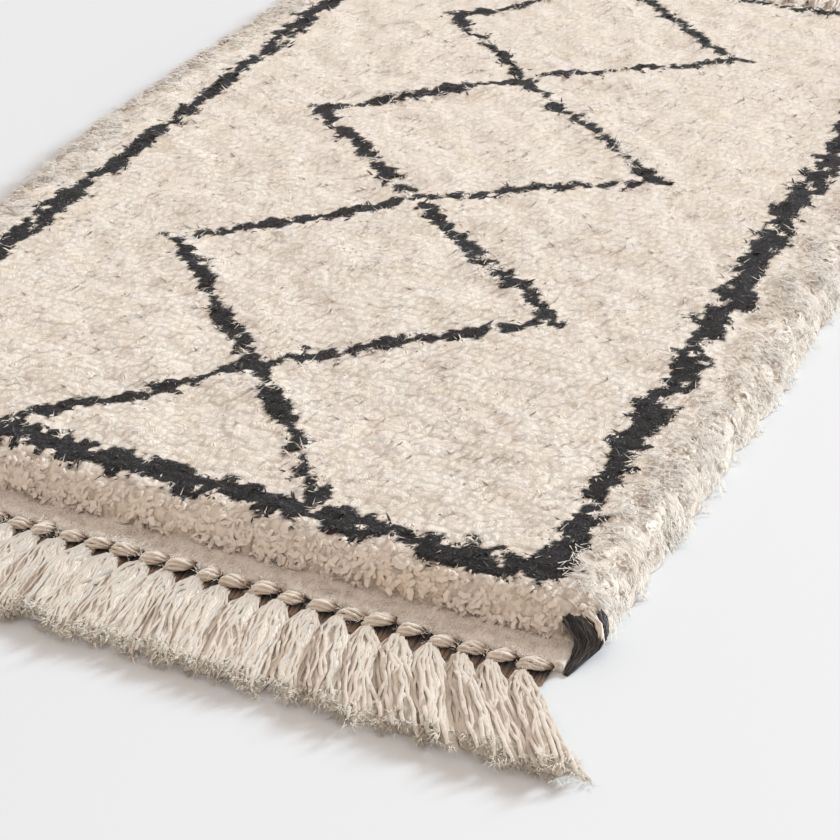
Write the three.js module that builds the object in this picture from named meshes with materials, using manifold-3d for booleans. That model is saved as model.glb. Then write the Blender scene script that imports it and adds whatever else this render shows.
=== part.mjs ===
// A hand-knotted wool pile rug. Its ground cloth, pile and flat-woven end bands are one piece of cloth.
// Along each short edge the warps are knotted in bundles and hang out as a fringe, which is one comb.
// At each corner the edge warps are overcast with black yarn. The rug lies flat.
// Millimetres, +Z up. The origin is the centre of the underside, on the floor, and +Y runs along the rug.
import * as THREE from "three";
import { mergeVertices } from "three/addons/utils/BufferGeometryUtils.js";
import Module from "manifold-3d";

const wasm = await Module();
wasm.setup();

// ---- driving dimensions ----
const PILE_HALF_LENGTH = 470; // centre to the foot of the pile's end slope
const PILE_HEIGHT = 28; // floor to the tips of the pile, ground cloth included
const SIDE_ROUNDING = 20; // how far in from its side edges the pile reaches full height
const SIDE_TUCK = 5; // how far the foot of the side edge lies in under its widest part
const CROWN_POINTS = 7; // points across the top of a section, between the two rounded sides

const BAND_WIDTH = 18; // flat-woven end band, from the foot of the pile to the warp knots
const BAND_THICKNESS = 7;
const BAND_HALF_WIDTH = 280;
const PIECE_GAP = 0.3; // between neighbouring pieces

const WRAP_WIDTH = 17; // overcast corner, across the rug
const WRAP_LENGTH = 46; // along the rug
const WRAP_HEIGHT = 12;
const WRAP_CORNER = 4; // rounding of its section
const WRAP_OUTER_EDGE = 289; // centre of the rug to the wrap's outer side

const TASSEL_COUNT = 30;
const COMB_WIDTH = 543; // along the edge, from the first tassel's side to the last one's
const COMB_BAR_DEPTH = 4; // last picks that hold the warp bundles
const COMB_BAR_HEIGHT = 6;
const FRINGE_LENGTH = 88; // from the band's end to the longest tassel's tip
const FRINGE_UNEVENNESS = 9; // the shortest tassel falls short by this much
const CORNER_SWEEP = 44; // sideways fall of the last tassel's tip
const SWEEP_START = 60; // distance from the rug's centre line where the sideways fall begins

// One row for each section along the rug. y is its place, left and right are the pile's widest points,
// and top is the height of the pile there. The sides are a little uneven, as hand weaving leaves them.
const PILE_SECTIONS = [
  { y: -470, left: -275, right: 275, top: 13 },
  { y: -464, left: -282, right: 282, top: 22 },
  { y: -454, left: -287, right: 287, top: 26.5 },
  { y: -438, left: -290, right: 291, top: 28 },
  { y: -390, left: -293, right: 293, top: 27.6 },
  { y: -320, left: -295, right: 296, top: 28 },
  { y: -250, left: -300, right: 299, top: 27.5 },
  { y: -170, left: -299, right: 304, top: 28 },
  { y: -90, left: -304, right: 302, top: 27.6 },
  { y: -10, left: -308, right: 307, top: 28 },
  { y: 70, left: -306, right: 308, top: 27.7 },
  { y: 150, left: -304, right: 304, top: 28 },
  { y: 220, left: -299, right: 302, top: 27.5 },
  { y: 290, left: -297, right: 300, top: 28 },
  { y: 370, left: -293, right: 295, top: 27.6 },
  { y: 438, left: -291, right: 290, top: 28 },
  { y: 454, left: -287, right: 287, top: 26.5 },
  { y: 464, left: -282, right: 282, top: 22 },
  { y: 470, left: -275, right: 275, top: 13 },
];

// One row for each section of a tassel. along is the fraction of its length from the band to the tip,
// width and height are the section there. The first rows are the knot, and the waist is just past it.
const TASSEL_SECTIONS = [
  { along: 0.0, width: 10, height: 6 },
  { along: 0.08, width: 14, height: 9 },
  { along: 0.17, width: 9, height: 8 },
  { along: 0.45, width: 13, height: 8 },
  { along: 0.8, width: 15, height: 6 },
  { along: 1.0, width: 12, height: 3 },
];

// The wrap at each corner: which end and which side of the rug it is on.
const CORNERS = [
  { name: "corner_wrap_near_right", side: 1, end: -1 },
  { name: "corner_wrap_near_left", side: -1, end: -1 },
  { name: "corner_wrap_far_right", side: 1, end: 1 },
  { name: "corner_wrap_far_left", side: -1, end: 1 },
];

// ---- materials ----
const creamWool = new THREE.MeshStandardMaterial({ color: 0xe6dac9, roughness: 0.95, metalness: 0 });
const fringeYarn = new THREE.MeshStandardMaterial({ color: 0xdccdbb, roughness: 0.9, metalness: 0 });
const blackYarn = new THREE.MeshStandardMaterial({ color: 0x2b2728, roughness: 0.9, metalness: 0 });

// ---- shape helpers ----

// A closed mesh through rings of equal length, in the order of their y. Each ring is a closed loop that
// runs up its left side, to the right over the top, and down again. The ends are closed by flat caps.
function loft(rings) {
  const count = rings[0].length;
  const positions = rings.flat().flatMap((point) => point.toArray());
  const indices = [];
  for (let r = 0; r + 1 < rings.length; r++) {
    for (let i = 0; i < count; i++) {
      const next = (i + 1) % count;
      const [a, b] = [r * count + i, r * count + next];
      const [c, d] = [a + count, b + count];
      indices.push(a, b, d, a, d, c);
    }
  }
  const capTriangles = (ring) => {
    const contour = ring.map((point) => new THREE.Vector2(point.x, point.z));
    return THREE.ShapeUtils.triangulateShape(contour, []);
  };
  const last = (rings.length - 1) * count;
  for (const [a, b, c] of capTriangles(rings[0])) {
    indices.push(a, b, c);
  }
  for (const [a, b, c] of capTriangles(rings.at(-1))) {
    indices.push(last + c, last + b, last + a);
  }
  const geometry = new THREE.BufferGeometry();
  geometry.setAttribute("position", new THREE.Float32BufferAttribute(positions, 3));
  geometry.setIndex(indices);
  return geometry;
}

function toManifold(geometry) {
  const bare = geometry.clone();
  bare.deleteAttribute("normal");
  bare.deleteAttribute("uv");
  const merged = mergeVertices(bare);
  return new wasm.Manifold(
    new wasm.Mesh({
      numProp: 3,
      vertProperties: new Float32Array(merged.attributes.position.array),
      triVerts: new Uint32Array(merged.index.array),
    }),
  );
}

function fromManifold(solid) {
  const { vertProperties, triVerts } = solid.getMesh();
  const geometry = new THREE.BufferGeometry();
  geometry.setAttribute("position", new THREE.Float32BufferAttribute(vertProperties, 3));
  geometry.setIndex([...triVerts]);
  geometry.computeVertexNormals();
  return geometry;
}

// ---- rug body: ground cloth, pile and end bands ----

// A cross section at y: flat underneath, sides that bulge out and round over into the top.
function bodyRing({ y, left, right, top }, rounding, tuck) {
  const side = (edge, inward) => [
    new THREE.Vector3(edge + inward * tuck, y, 0),
    new THREE.Vector3(edge, y, top * 0.35),
    new THREE.Vector3(edge + inward * rounding * 0.12, y, top * 0.68),
    new THREE.Vector3(edge + inward * rounding * 0.42, y, top * 0.9),
  ];
  const crown = Array.from({ length: CROWN_POINTS }, (_, i) => {
    const x = THREE.MathUtils.lerp(left + rounding, right - rounding, i / (CROWN_POINTS - 1));
    return new THREE.Vector3(x, y, top);
  });
  return [...side(left, 1), ...crown, ...side(right, -1).reverse()];
}

function bandRing(y) {
  const band = { y, left: -BAND_HALF_WIDTH, right: BAND_HALF_WIDTH, top: BAND_THICKNESS };
  return bodyRing(band, BAND_THICKNESS, 0);
}

function bodyGeometry() {
  const bandEnd = PILE_HALF_LENGTH + BAND_WIDTH;
  const pileRings = PILE_SECTIONS.map((section) => bodyRing(section, SIDE_ROUNDING, SIDE_TUCK));
  const foot = PILE_HALF_LENGTH + PIECE_GAP;
  return loft([bandRing(-bandEnd), bandRing(-foot), ...pileRings, bandRing(foot), bandRing(bandEnd)]);
}

// ---- corner wraps ----

// A flat-bottomed bar with rounded edges, centred on x and y and standing on z = 0.
function wrapGeometry(clearance) {
  const halfWidth = WRAP_WIDTH / 2 + clearance;
  const halfLength = WRAP_LENGTH / 2 + clearance;
  const top = WRAP_HEIGHT + clearance;
  const outline = new THREE.Shape();
  outline.moveTo(-halfWidth, -clearance);
  outline.lineTo(halfWidth, -clearance);
  outline.lineTo(halfWidth, top - WRAP_CORNER);
  outline.absarc(halfWidth - WRAP_CORNER, top - WRAP_CORNER, WRAP_CORNER, 0, Math.PI / 2);
  outline.absarc(-halfWidth + WRAP_CORNER, top - WRAP_CORNER, WRAP_CORNER, Math.PI / 2, Math.PI);
  const bar = new THREE.ExtrudeGeometry(outline, {
    depth: 2 * halfLength,
    bevelEnabled: false,
    curveSegments: 4,
  });
  return bar.rotateX(Math.PI / 2).translate(0, halfLength, 0);
}

function wrapPlace({ side, end }) {
  const x = side * (WRAP_OUTER_EDGE - WRAP_WIDTH / 2);
  const y = end * (PILE_HALF_LENGTH + BAND_WIDTH + COMB_BAR_DEPTH - WRAP_LENGTH / 2);
  return new THREE.Vector3(x, y, 0);
}

// The rug body with a seat cut for each corner wrap, where the edge warps leave the cloth.
function seatedBodyGeometry() {
  const whole = toManifold(bodyGeometry());
  const seated = CORNERS.reduce((body, corner) => {
    const seat = wrapGeometry(PIECE_GAP).translate(...wrapPlace(corner).toArray());
    return body.subtract(toManifold(seat));
  }, whole);
  return fromManifold(seated);
}

// ---- fringe ----

// Tassel number i of the near fringe, from the band's end out along -Y. Tassels towards the right
// corner fall sideways, the last one most.
function tasselGeometry(i) {
  const pitch = COMB_WIDTH / TASSEL_COUNT;
  const x = -COMB_WIDTH / 2 + (i + 0.5) * pitch;
  const short = FRINGE_UNEVENNESS * (0.5 + 0.5 * Math.sin(1.7 * i) * Math.cos(0.9 * i));
  const length = FRINGE_LENGTH - short;
  const towardsCorner = THREE.MathUtils.smoothstep(x, SWEEP_START, COMB_WIDTH / 2);
  const rings = TASSEL_SECTIONS.map(({ along, width, height }) => {
    const y = -(PILE_HALF_LENGTH + BAND_WIDTH + PIECE_GAP + along * length);
    const middle = x + CORNER_SWEEP * towardsCorner * along ** 1.3;
    const point = (across, up) => new THREE.Vector3(middle + across * width, y, up * height);
    return [
      point(-0.5, 0),
      point(-0.5, 0.6),
      point(-0.25, 1),
      point(0.25, 1),
      point(0.5, 0.6),
      point(0.5, 0),
    ];
  });
  return loft(rings.reverse());
}

function combGeometry() {
  const bar = new THREE.BoxGeometry(COMB_WIDTH, COMB_BAR_DEPTH, COMB_BAR_HEIGHT);
  const barPlace = -(PILE_HALF_LENGTH + BAND_WIDTH + PIECE_GAP + COMB_BAR_DEPTH / 2);
  bar.translate(0, barPlace, COMB_BAR_HEIGHT / 2);
  const tassels = Array.from({ length: TASSEL_COUNT }, (_, i) => toManifold(tasselGeometry(i)));
  const comb = tassels.reduce((joined, tassel) => joined.add(tassel), toManifold(bar));
  return fromManifold(comb);
}

// ---- the rug ----
const rug = new THREE.Group();

function addPiece(name, geometry, material) {
  const piece = new THREE.Mesh(geometry, material);
  piece.name = name;
  rug.add(piece);
  return piece;
}

addPiece("rug_body", seatedBodyGeometry(), creamWool);
addPiece("fringe_near", combGeometry(), fringeYarn);
addPiece("fringe_far", combGeometry(), fringeYarn.clone()).rotation.z = Math.PI;
for (const corner of CORNERS) {
  addPiece(corner.name, wrapGeometry(0), blackYarn.clone()).position.copy(wrapPlace(corner));
}

export default rug;
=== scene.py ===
"""A hand-knotted wool pile rug with a dark lozenge lattice, flat-woven ends and a knotted fringe.

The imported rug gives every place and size: the outline of the pile comes from the rug body, the fringe
and the corner wraps from their own boxes. Lengths are metres; MM turns a maker's millimetres into them.
"""
import math
from functools import partial

import bpy
import numpy as np
from mathutils import Matrix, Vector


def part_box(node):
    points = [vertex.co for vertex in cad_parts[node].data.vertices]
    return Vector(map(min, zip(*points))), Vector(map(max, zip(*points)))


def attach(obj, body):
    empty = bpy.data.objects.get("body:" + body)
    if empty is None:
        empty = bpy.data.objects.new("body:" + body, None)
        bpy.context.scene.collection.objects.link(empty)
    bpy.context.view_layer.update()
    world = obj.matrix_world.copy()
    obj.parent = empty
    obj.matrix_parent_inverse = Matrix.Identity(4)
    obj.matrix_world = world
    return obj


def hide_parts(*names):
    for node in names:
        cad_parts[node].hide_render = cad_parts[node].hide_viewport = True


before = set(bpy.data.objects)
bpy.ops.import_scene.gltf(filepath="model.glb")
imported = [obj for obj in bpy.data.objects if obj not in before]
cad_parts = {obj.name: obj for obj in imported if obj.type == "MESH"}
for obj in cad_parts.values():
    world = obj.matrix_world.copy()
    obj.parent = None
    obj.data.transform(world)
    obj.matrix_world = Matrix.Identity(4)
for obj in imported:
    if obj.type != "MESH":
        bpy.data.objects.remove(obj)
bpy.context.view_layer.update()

MM = 0.001

# ---- sizes read from the frame ----
_, BODY_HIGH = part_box("rug_body")
FRINGE_LOW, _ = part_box("fringe_near")
BAND_END = BODY_HIGH.y
PILE_TOP = BODY_HIGH.z
FRINGE_TIP = -FRINGE_LOW.y

# ---- sizes of the weave ----
BAND_WIDTH = 18 * MM  # flat-woven end band, foot of the pile to the warp knots
GROUND_THICKNESS = 4 * MM
GROUND_INSET = 9 * MM  # the cloth stops this far inside the pile's outline near its ends
GROUND_MEASURED_AT = 0.45  # where along the rug that outline is taken
PILE_END = BAND_END - BAND_WIDTH
KNOT_PITCH = 6.0 * MM  # pile knots along a row
ROW_PITCH = 7.4 * MM  # from row to row
EDGE_ROUNDING = 24 * MM  # how far in from its edges the pile starts to fall away
FAR_ROUNDING = 13 * MM  # the far end stands up straighter
ROOT_INSET = 5 * MM  # the outermost knots sit this far inside the pile's outline
CORE_TOP = PILE_TOP - 4.5 * MM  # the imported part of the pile, which the loose yarn ends lie on
CORE_FOOT = 4 * MM
SIDE_END = 447 * MM  # the long wool of the sides stops here, where the corner wraps start
TASSELS = 30
COMB_HALF_WIDTH = 271.5 * MM  # the row of warp knots, from its middle
SIDES = {"right": 1, "left": -1}
ANY_TURN = 6.3  # radians, a full turn for a random draw


# =====================================================================================================
# Node graphs
# =====================================================================================================
class Value:
    """A node's output, so that shader and field maths reads as an expression."""

    def __init__(self, graph, socket):
        self.graph = graph
        self.socket = socket

    def maths(self, operation, *values):
        return self.graph.add("ShaderNodeMath", {"operation": operation}, dict(enumerate(values)))

    def __add__(self, other):
        return self.maths("ADD", self, other)

    def __radd__(self, other):
        return self.maths("ADD", other, self)

    def __sub__(self, other):
        return self.maths("SUBTRACT", self, other)

    def __rsub__(self, other):
        return self.maths("SUBTRACT", other, self)

    def __mul__(self, other):
        return self.maths("MULTIPLY", self, other)

    def __rmul__(self, other):
        return self.maths("MULTIPLY", other, self)

    def __truediv__(self, other):
        return self.maths("DIVIDE", self, other)

    def __pow__(self, other):
        return self.maths("POWER", self, other)

    def clamped(self):
        return self.maths("MINIMUM", self.maths("MAXIMUM", self, 0.0), 1.0)

    def sharpened(self, gain, cut):
        """More contrast: what is under cut goes to 0, and the rest rises to 1."""
        return (self * gain - cut).clamped()


class Graph:
    """Adds nodes to a shader or geometry tree."""

    def __init__(self, tree):
        self.tree = tree

    def add(self, kind, settings=None, inputs=None, output=0):
        """A node of that type, with its settings, then the values or links of its sockets."""
        node = self.tree.nodes.new(kind)
        for name, value in (settings or {}).items():
            setattr(node, name, value)
        for key, value in (inputs or {}).items():
            if isinstance(value, Value):
                self.tree.links.new(value.socket, node.inputs[key])
            else:
                node.inputs[key].default_value = value
        return Value(self, node.outputs[output]) if node.outputs else node

    def attribute(self, name, output=2):
        return self.add("ShaderNodeAttribute", {"attribute_name": name}, output=output)

    def noise(self, place, scale, detail=2.0, roughness=0.5):
        inputs = {"Vector": place, "Scale": scale, "Detail": detail, "Roughness": roughness}
        return self.add("ShaderNodeTexNoise", {}, inputs)

    def mixed(self, factor, first, second):
        """One colour turned into another by factor."""
        colours = [c if isinstance(c, Value) else (*c, 1.0) for c in (first, second)]
        inputs = {0: factor, 6: colours[0], 7: colours[1]}
        return self.add("ShaderNodeMix", {"data_type": "RGBA"}, inputs, output=2)

    def vector(self, operation, first, second, socket=1):
        """Vector maths on two values."""
        inputs = {0: first, socket: second}
        return self.add("ShaderNodeVectorMath", {"operation": operation}, inputs)

    def rootward(self):
        """1 at a strand's root and 0 at its tip."""
        return (1.0 - self.attribute("along")).clamped()


# =====================================================================================================
# Materials
# =====================================================================================================
def material_of(name, inputs_of):
    """A material. inputs_of builds what goes into its surface from a graph."""
    material = bpy.data.materials.new(name)
    material.use_nodes = True
    graph = Graph(material.node_tree)
    material.node_tree.nodes.clear()
    shader = graph.add("ShaderNodeBsdfPrincipled", {}, inputs_of(graph))
    graph.add("ShaderNodeOutputMaterial", {}, {"Surface": shader})
    return material


def wool(name, colour_of, roughness, sheen, specular=0.2, bump_of=None, bump=(0.5, 0.3 * MM)):
    """A matt fibre finish. colour_of and bump_of build the colour and the height from a graph."""

    def inputs_of(graph):
        inputs = {
            "Base Color": colour_of(graph),
            "Roughness": roughness,
            "Sheen Weight": sheen,
            "Sheen Roughness": 0.5,
            "Specular IOR Level": specular,
        }
        if bump_of is not None:
            strength, distance = bump
            heights = {"Strength": strength, "Distance": distance, "Height": bump_of(graph)}
            inputs["Normal"] = graph.add("ShaderNodeBump", {}, heights)
        return inputs

    return material_of(name, inputs_of)


def object_place(graph):
    """A place on the piece, in metres."""
    return graph.add("ShaderNodeTexCoord", {}, output=3)


CREAM_SHADE = (0.78, 0.62, 0.45)
CREAM_BODY = (0.90, 0.77, 0.655)
CREAM_LIGHT = (0.97, 0.88, 0.785)
CREAM_TAN = (0.90, 0.745, 0.535)
CREAM_GREY = (0.87, 0.79, 0.73)
BLACK_DEEP = (0.009, 0.007, 0.007)
BLACK_BODY = (0.024, 0.020, 0.020)
# paler black fibres at random, and painted highlights on the tops of black knots
BLACK_PALE_FIBRE_AND_HIGHLIGHT = (0.15, 0.132, 0.125)
# painted near-black shadow for yarn under the band's edge
YARN_PAINTED_SHADOW = (0.022, 0.015, 0.013)
YARN_SHADE = (0.30, 0.19, 0.125)
YARN_BODY = (0.87, 0.745, 0.62)
YARN_LIGHT = (0.94, 0.85, 0.75)
FRAY_DARK = (0.97, 0.84, 0.69)
FRAY_LIGHT = (1.0, 0.93, 0.81)
CLOTH_SHADE = (0.80, 0.69, 0.60)
CLOTH_LIGHT = (1.0, 0.94, 0.87)
FUZZ_SHADE = (0.78, 0.67, 0.58)
FUZZ_LIGHT = (0.98, 0.90, 0.82)


def strand_place(graph, across, aside, pitch):
    """A place of each strand's own in a noise, which moves on along the strand."""
    tint, run = graph.attribute("tint"), graph.attribute("run")
    inputs = {0: tint * across, 1: tint * aside, 2: run * pitch}
    return graph.add("ShaderNodeCombineXYZ", {}, inputs)


def fibre_streaks(graph):
    """Fine streaks along a strand, from about 0 to 1."""
    across = graph.vector("SCALE", graph.attribute("ring", output=1), 2.6, "Scale")
    place = graph.vector("ADD", across, strand_place(graph, 17.0, 31.0, 90.0))
    return graph.noise(place, 1.0, 2.0).sharpened(2.4, 0.7)


def tan_patches(graph):
    """Warm patches in undyed wool."""
    return graph.noise(object_place(graph), 38.0, 3.0).sharpened(3.2, 1.55) * 0.45


def cream_colour(graph):
    """Undyed wool: each tuft its own tone, warm tan and greyish patches, and painted shade towards the
    roots.
    """
    tone = graph.attribute("tone") * 0.5 + fibre_streaks(graph) * 0.5
    root = graph.rootward()
    base = graph.mixed(tone, CREAM_BODY, CREAM_LIGHT)
    grey = graph.noise(object_place(graph), 17.0, 2.0).sharpened(3.0, 1.6) * 0.2
    patched = graph.mixed(grey, graph.mixed(tan_patches(graph), base, CREAM_TAN), CREAM_GREY)
    # painted shade: each strand darkens towards its root, where the pile shades it
    return graph.mixed(root * root * 0.5, patched, CREAM_SHADE)


def black_colour(graph):
    """Dark undyed wool: nearly black, with paler fibres at some ends and painted brown-black shade towards
    the roots.
    """
    tone = graph.attribute("tone")
    pale = tone * 0.5 + tone * fibre_streaks(graph) * 0.6
    # painted shade: darker towards each strand's root
    return graph.mixed(graph.rootward(), graph.mixed(pale, BLACK_BODY, BLACK_PALE_FIBRE_AND_HIGHLIGHT), BLACK_DEEP)


def lay_of_fibres(graph, across, along):
    """Streaks that follow each knot's own lay, about 0 to 1."""
    place = graph.vector("MULTIPLY", graph.attribute("lay", output=1), (across, along, 1.0))
    return graph.noise(place, 1.0, 2.0, 0.6)


def core_colour(graph):
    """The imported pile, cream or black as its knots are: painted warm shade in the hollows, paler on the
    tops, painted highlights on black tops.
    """
    ragged = (lay_of_fibres(graph, 0.42, 0.2) - 0.5) * 4.2
    dark = ((graph.attribute("dark") * 2.0 - 1.0 + ragged) * 3.0 + 0.5).clamped()
    dome = graph.attribute("dome")
    streak = lay_of_fibres(graph, 1.1, 0.28).sharpened(2.6, 0.8)
    cream = graph.mixed(streak * 0.7 + graph.attribute("tone") * 0.3, CREAM_BODY, CREAM_LIGHT)
    flecks = graph.noise(object_place(graph), 130.0, 2.0).sharpened(4.0, 2.2) * 0.35
    cream = graph.mixed((tan_patches(graph) + flecks).clamped(), cream, CREAM_TAN)
    # painted shade: the lower a place sits between knot domes, the more shade colour it takes, as strong as
    # depth says
    cream = graph.mixed((1.0 - dome) ** 2.0 * graph.attribute("depth"), cream, CREAM_SHADE)
    # painted highlights: pale streaks only on the tops of the black knots
    black = graph.mixed(streak ** 3.0 * dome, BLACK_DEEP, BLACK_PALE_FIBRE_AND_HIGHLIGHT)
    return graph.mixed(dark, cream, black)


def core_relief(graph):
    """Fibres lying along each knot's lay."""
    fibres = lay_of_fibres(graph, 1.0, 0.3) + lay_of_fibres(graph, 2.6, 0.7) * 0.5
    return fibres * (graph.attribute("depth") * 1.6 + 0.36)


def yarn_colour(graph):
    """Crimped warp yarn: strands of slightly different tone, with painted shade where they leave the knot
    and along the crimp, and painted near-black shadow where along is below 0.
    """
    tone = graph.attribute("tone") * 0.4 + fibre_streaks(graph) * 0.6
    base = graph.mixed(tone, YARN_BODY, YARN_LIGHT)
    crimp = strand_place(graph, 57.0, 23.0, 330.0)
    # painted shade: the crimp's dips and each yarn's root darken towards YARN_SHADE
    dips = graph.noise(crimp, 1.0, 1.0).sharpened(3.0, 1.6) * 0.25
    shaded = graph.mixed((graph.rootward() ** 3.0 + dips).clamped(), base, YARN_SHADE)
    # painted shadow: near-black where along is below 0, under the band's edge and in the holes by the knots
    return graph.mixed((graph.attribute("along") * -4.0).clamped(), shaded, YARN_PAINTED_SHADOW)


def packed_yarn_colour(graph):
    """Yarns side by side, with painted warm shade towards their roots, opening out into pale fibre at their
    cut ends.
    """
    streak = lay_of_fibres(graph, 1.0, 0.2).sharpened(2.6, 0.8)
    body = graph.mixed(streak, YARN_BODY, YARN_LIGHT)
    # painted shade: darker towards each yarn's root
    body = graph.mixed(graph.rootward() ** 2.0, body, YARN_SHADE)
    return graph.mixed(graph.attribute("frayed"), body, graph.mixed(streak, FRAY_DARK, FRAY_LIGHT))


def packed_yarn_relief(graph):
    """Yarns side by side, with their own fibres on them."""
    return lay_of_fibres(graph, 1.0, 0.25) + lay_of_fibres(graph, 2.4, 0.9) * 0.5


def frayed_colour(graph):
    """The same yarn opened out into soft pale fibre."""
    tone = graph.attribute("tone") * 0.5 + graph.attribute("tint") * 0.5
    return graph.mixed(tone, FRAY_DARK, FRAY_LIGHT)


def cloth_streaks(graph, across, along):
    """Streaks along the warps, about 0 to 1; across and along are their pitches."""
    place = graph.vector("MULTIPLY", object_place(graph), (1 / across, 1 / along, 0.0))
    return graph.noise(place, 1.0, 3.0, 0.6)


def ground_colour(graph):
    """Felted ground cloth, with the dark knots showing through underneath."""
    streaks = cloth_streaks(graph, 1.3 * MM, 5.0 * MM).sharpened(2.4, 0.7)
    base = graph.mixed(streaks, CLOTH_SHADE, CLOTH_LIGHT)
    return graph.mixed(graph.attribute("dark").sharpened(3.0, 1.0) * 0.9, base, BLACK_BODY)


def ground_height(graph):
    return cloth_streaks(graph, 1.5 * MM, 5.0 * MM)


def fuzz_colour(graph):
    return graph.mixed(graph.attribute("tone"), FUZZ_SHADE, FUZZ_LIGHT)


CREAM_WOOL = wool("cream pile wool", cream_colour, 0.9, 0.25)
BLACK_WOOL = wool("black pile wool", black_colour, 0.6, 0.05, specular=0.35)
CORE_WOOL = wool(
    "packed pile wool", core_colour, 0.95, 0.05, bump_of=core_relief, bump=(0.7, 1.6 * MM)
)
FRINGE_YARN = wool("plied fringe yarn", yarn_colour, 0.85, 0.25)
PACKED_YARN = wool(
    "packed fringe yarn", packed_yarn_colour, 0.9, 0.1, bump_of=packed_yarn_relief, bump=(0.7, 1.4 * MM)
)
FRAYED_YARN = wool("frayed yarn ends", frayed_colour, 0.95, 0.3)
GROUND_CLOTH = wool(
    "felted ground cloth", ground_colour, 0.92, 0.1, bump_of=ground_height, bump=(0.8, 2.0 * MM)
)
BAND_FUZZ = wool("loose band fibre", fuzz_colour, 0.9, 0.2)
WRAP_YARN = wool("black overcasting yarn", black_colour, 0.6, 0.05, specular=0.35)


# =====================================================================================================
# Numbers over the rug
# =====================================================================================================
def smooth(t):
    """A soft start and stop between 0 and 1."""
    return t * t * (3.0 - 2.0 * t)


def unit(ways):
    """Directions with a length of 1."""
    return ways / np.linalg.norm(ways, axis=-1, keepdims=True)


def points_of(mesh):
    """A mesh's points, one a row."""
    points = np.empty(len(mesh.vertices) * 3)
    mesh.vertices.foreach_get("co", points)
    return points.reshape(-1, 3)


def turned_by(x, y, angle):
    """Places turned round the vertical, as their x and their y."""
    return x * np.cos(angle) - y * np.sin(angle), x * np.sin(angle) + y * np.cos(angle)


def value_noise(x, y, cell, seed):
    """Smooth noise from -1 to 1, with features about one cell across."""
    table = np.random.default_rng(seed).uniform(-1.0, 1.0, (256, 256))
    u, v = x / cell + 128.3, y / cell + 128.7
    i, j = np.floor(u).astype(int), np.floor(v).astype(int)
    s, t = smooth(u - i), smooth(v - j)
    i0, i1, j0, j1 = i % 256, (i + 1) % 256, j % 256, (j + 1) % 256
    low = table[i0, j0] * (1 - s) + table[i1, j0] * s
    high = table[i0, j1] * (1 - s) + table[i1, j1] * s
    return low * (1 - t) + high * t


def side_edges():
    """The pile's left and right edges along the rug, as rows of y, left and right."""
    points = points_of(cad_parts["rug_body"].data)
    stations = np.round(points[:, 1], 3)
    rows = []
    for y in np.unique(stations[np.abs(stations) <= PILE_END + 1e-6]):
        across = points[stations == y, 0]
        if across.min() < -0.2 and across.max() > 0.2:
            rows.append((y, across.min(), across.max()))
    return np.array(rows).T


EDGE_Y, EDGE_LEFT, EDGE_RIGHT = side_edges()
WIDEST = max(EDGE_RIGHT.max(), -EDGE_LEFT.min())


def rooted_edges(y):
    """The left and right edges of the area where knots are rooted."""
    left = np.interp(y, EDGE_Y, EDGE_LEFT) + ROOT_INSET
    right = np.interp(y, EDGE_Y, EDGE_RIGHT) - ROOT_INSET
    return left, right


def edge_fall(x, y):
    """How far a place is down the pile's rounded edge, from 0 inside to 1 at its foot, and the
    direction outwards there. Places outside the outline are past 1."""
    left, right = rooted_edges(y)
    reach = PILE_END - ROOT_INSET
    inward = [x - left, right - x, y + reach, reach - y]
    widths = [EDGE_ROUNDING, EDGE_ROUNDING, EDGE_ROUNDING, FAR_ROUNDING]
    west, east, near, far = [np.maximum(0.0, w - d) / w for d, w in zip(inward, widths)]
    outward = np.stack([east - west, far - near], -1)
    fall = np.linalg.norm(outward, axis=-1)
    return fall, outward / np.maximum(fall, 1e-6)[..., None]


# ---- the lattice ----
# The lozenges' corners, in millimetres from the rug's centre. Hand knotting sets none quite in line.
APEXES = [(-5, -299), (-12, -42), (-23, 199), (-14, 434)]
LEFT_CORNERS = [(-141, -173), (-150, 78), (-133, 306)]
RIGHT_CORNERS = [(147, -170), (137, 64), (122, 310)]
NEAR_FEET = [(-114, -430), (110, -434)]
BORDER = {"left": -247, "right": 246, "near": -438, "far": 451}
FOOT_LINE = 6.6  # half the width of a line, in millimetres
LOZENGE_LINES = (6.0, 5.4, 4.8)  # nearest lozenge first
BORDER_LINES = {"left": 7.6, "right": 10.0, "near": 10.2, "far": 5.6}
TAIL = 8  # the corners run on past the turn by this much


def lattice_lines():
    """Every line of the pattern, as half width and two end points."""
    lines = [(FOOT_LINE, foot, APEXES[0]) for foot in NEAR_FEET]
    rows = zip(LOZENGE_LINES, APEXES, APEXES[1:], LEFT_CORNERS, RIGHT_CORNERS)
    for half_width, below, above, left, right in rows:
        for corner, way in ((left, -1), (right, 1)):
            lines.append((half_width, below, corner))
            lines.append((half_width, corner, above))
            lines.append((half_width * 0.8, corner, (corner[0] + way * TAIL, corner[1] + 2)))
    west, east, near, far = (BORDER[k] for k in ("left", "right", "near", "far"))
    lines.append((BORDER_LINES["near"], (west, near), (east, near)))
    lines.append((BORDER_LINES["far"], (west, far), (east, far)))
    lines.append((BORDER_LINES["left"], (west, near), (west, far)))
    lines.append((BORDER_LINES["right"], (east, near), (east, far)))
    return lines


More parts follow.
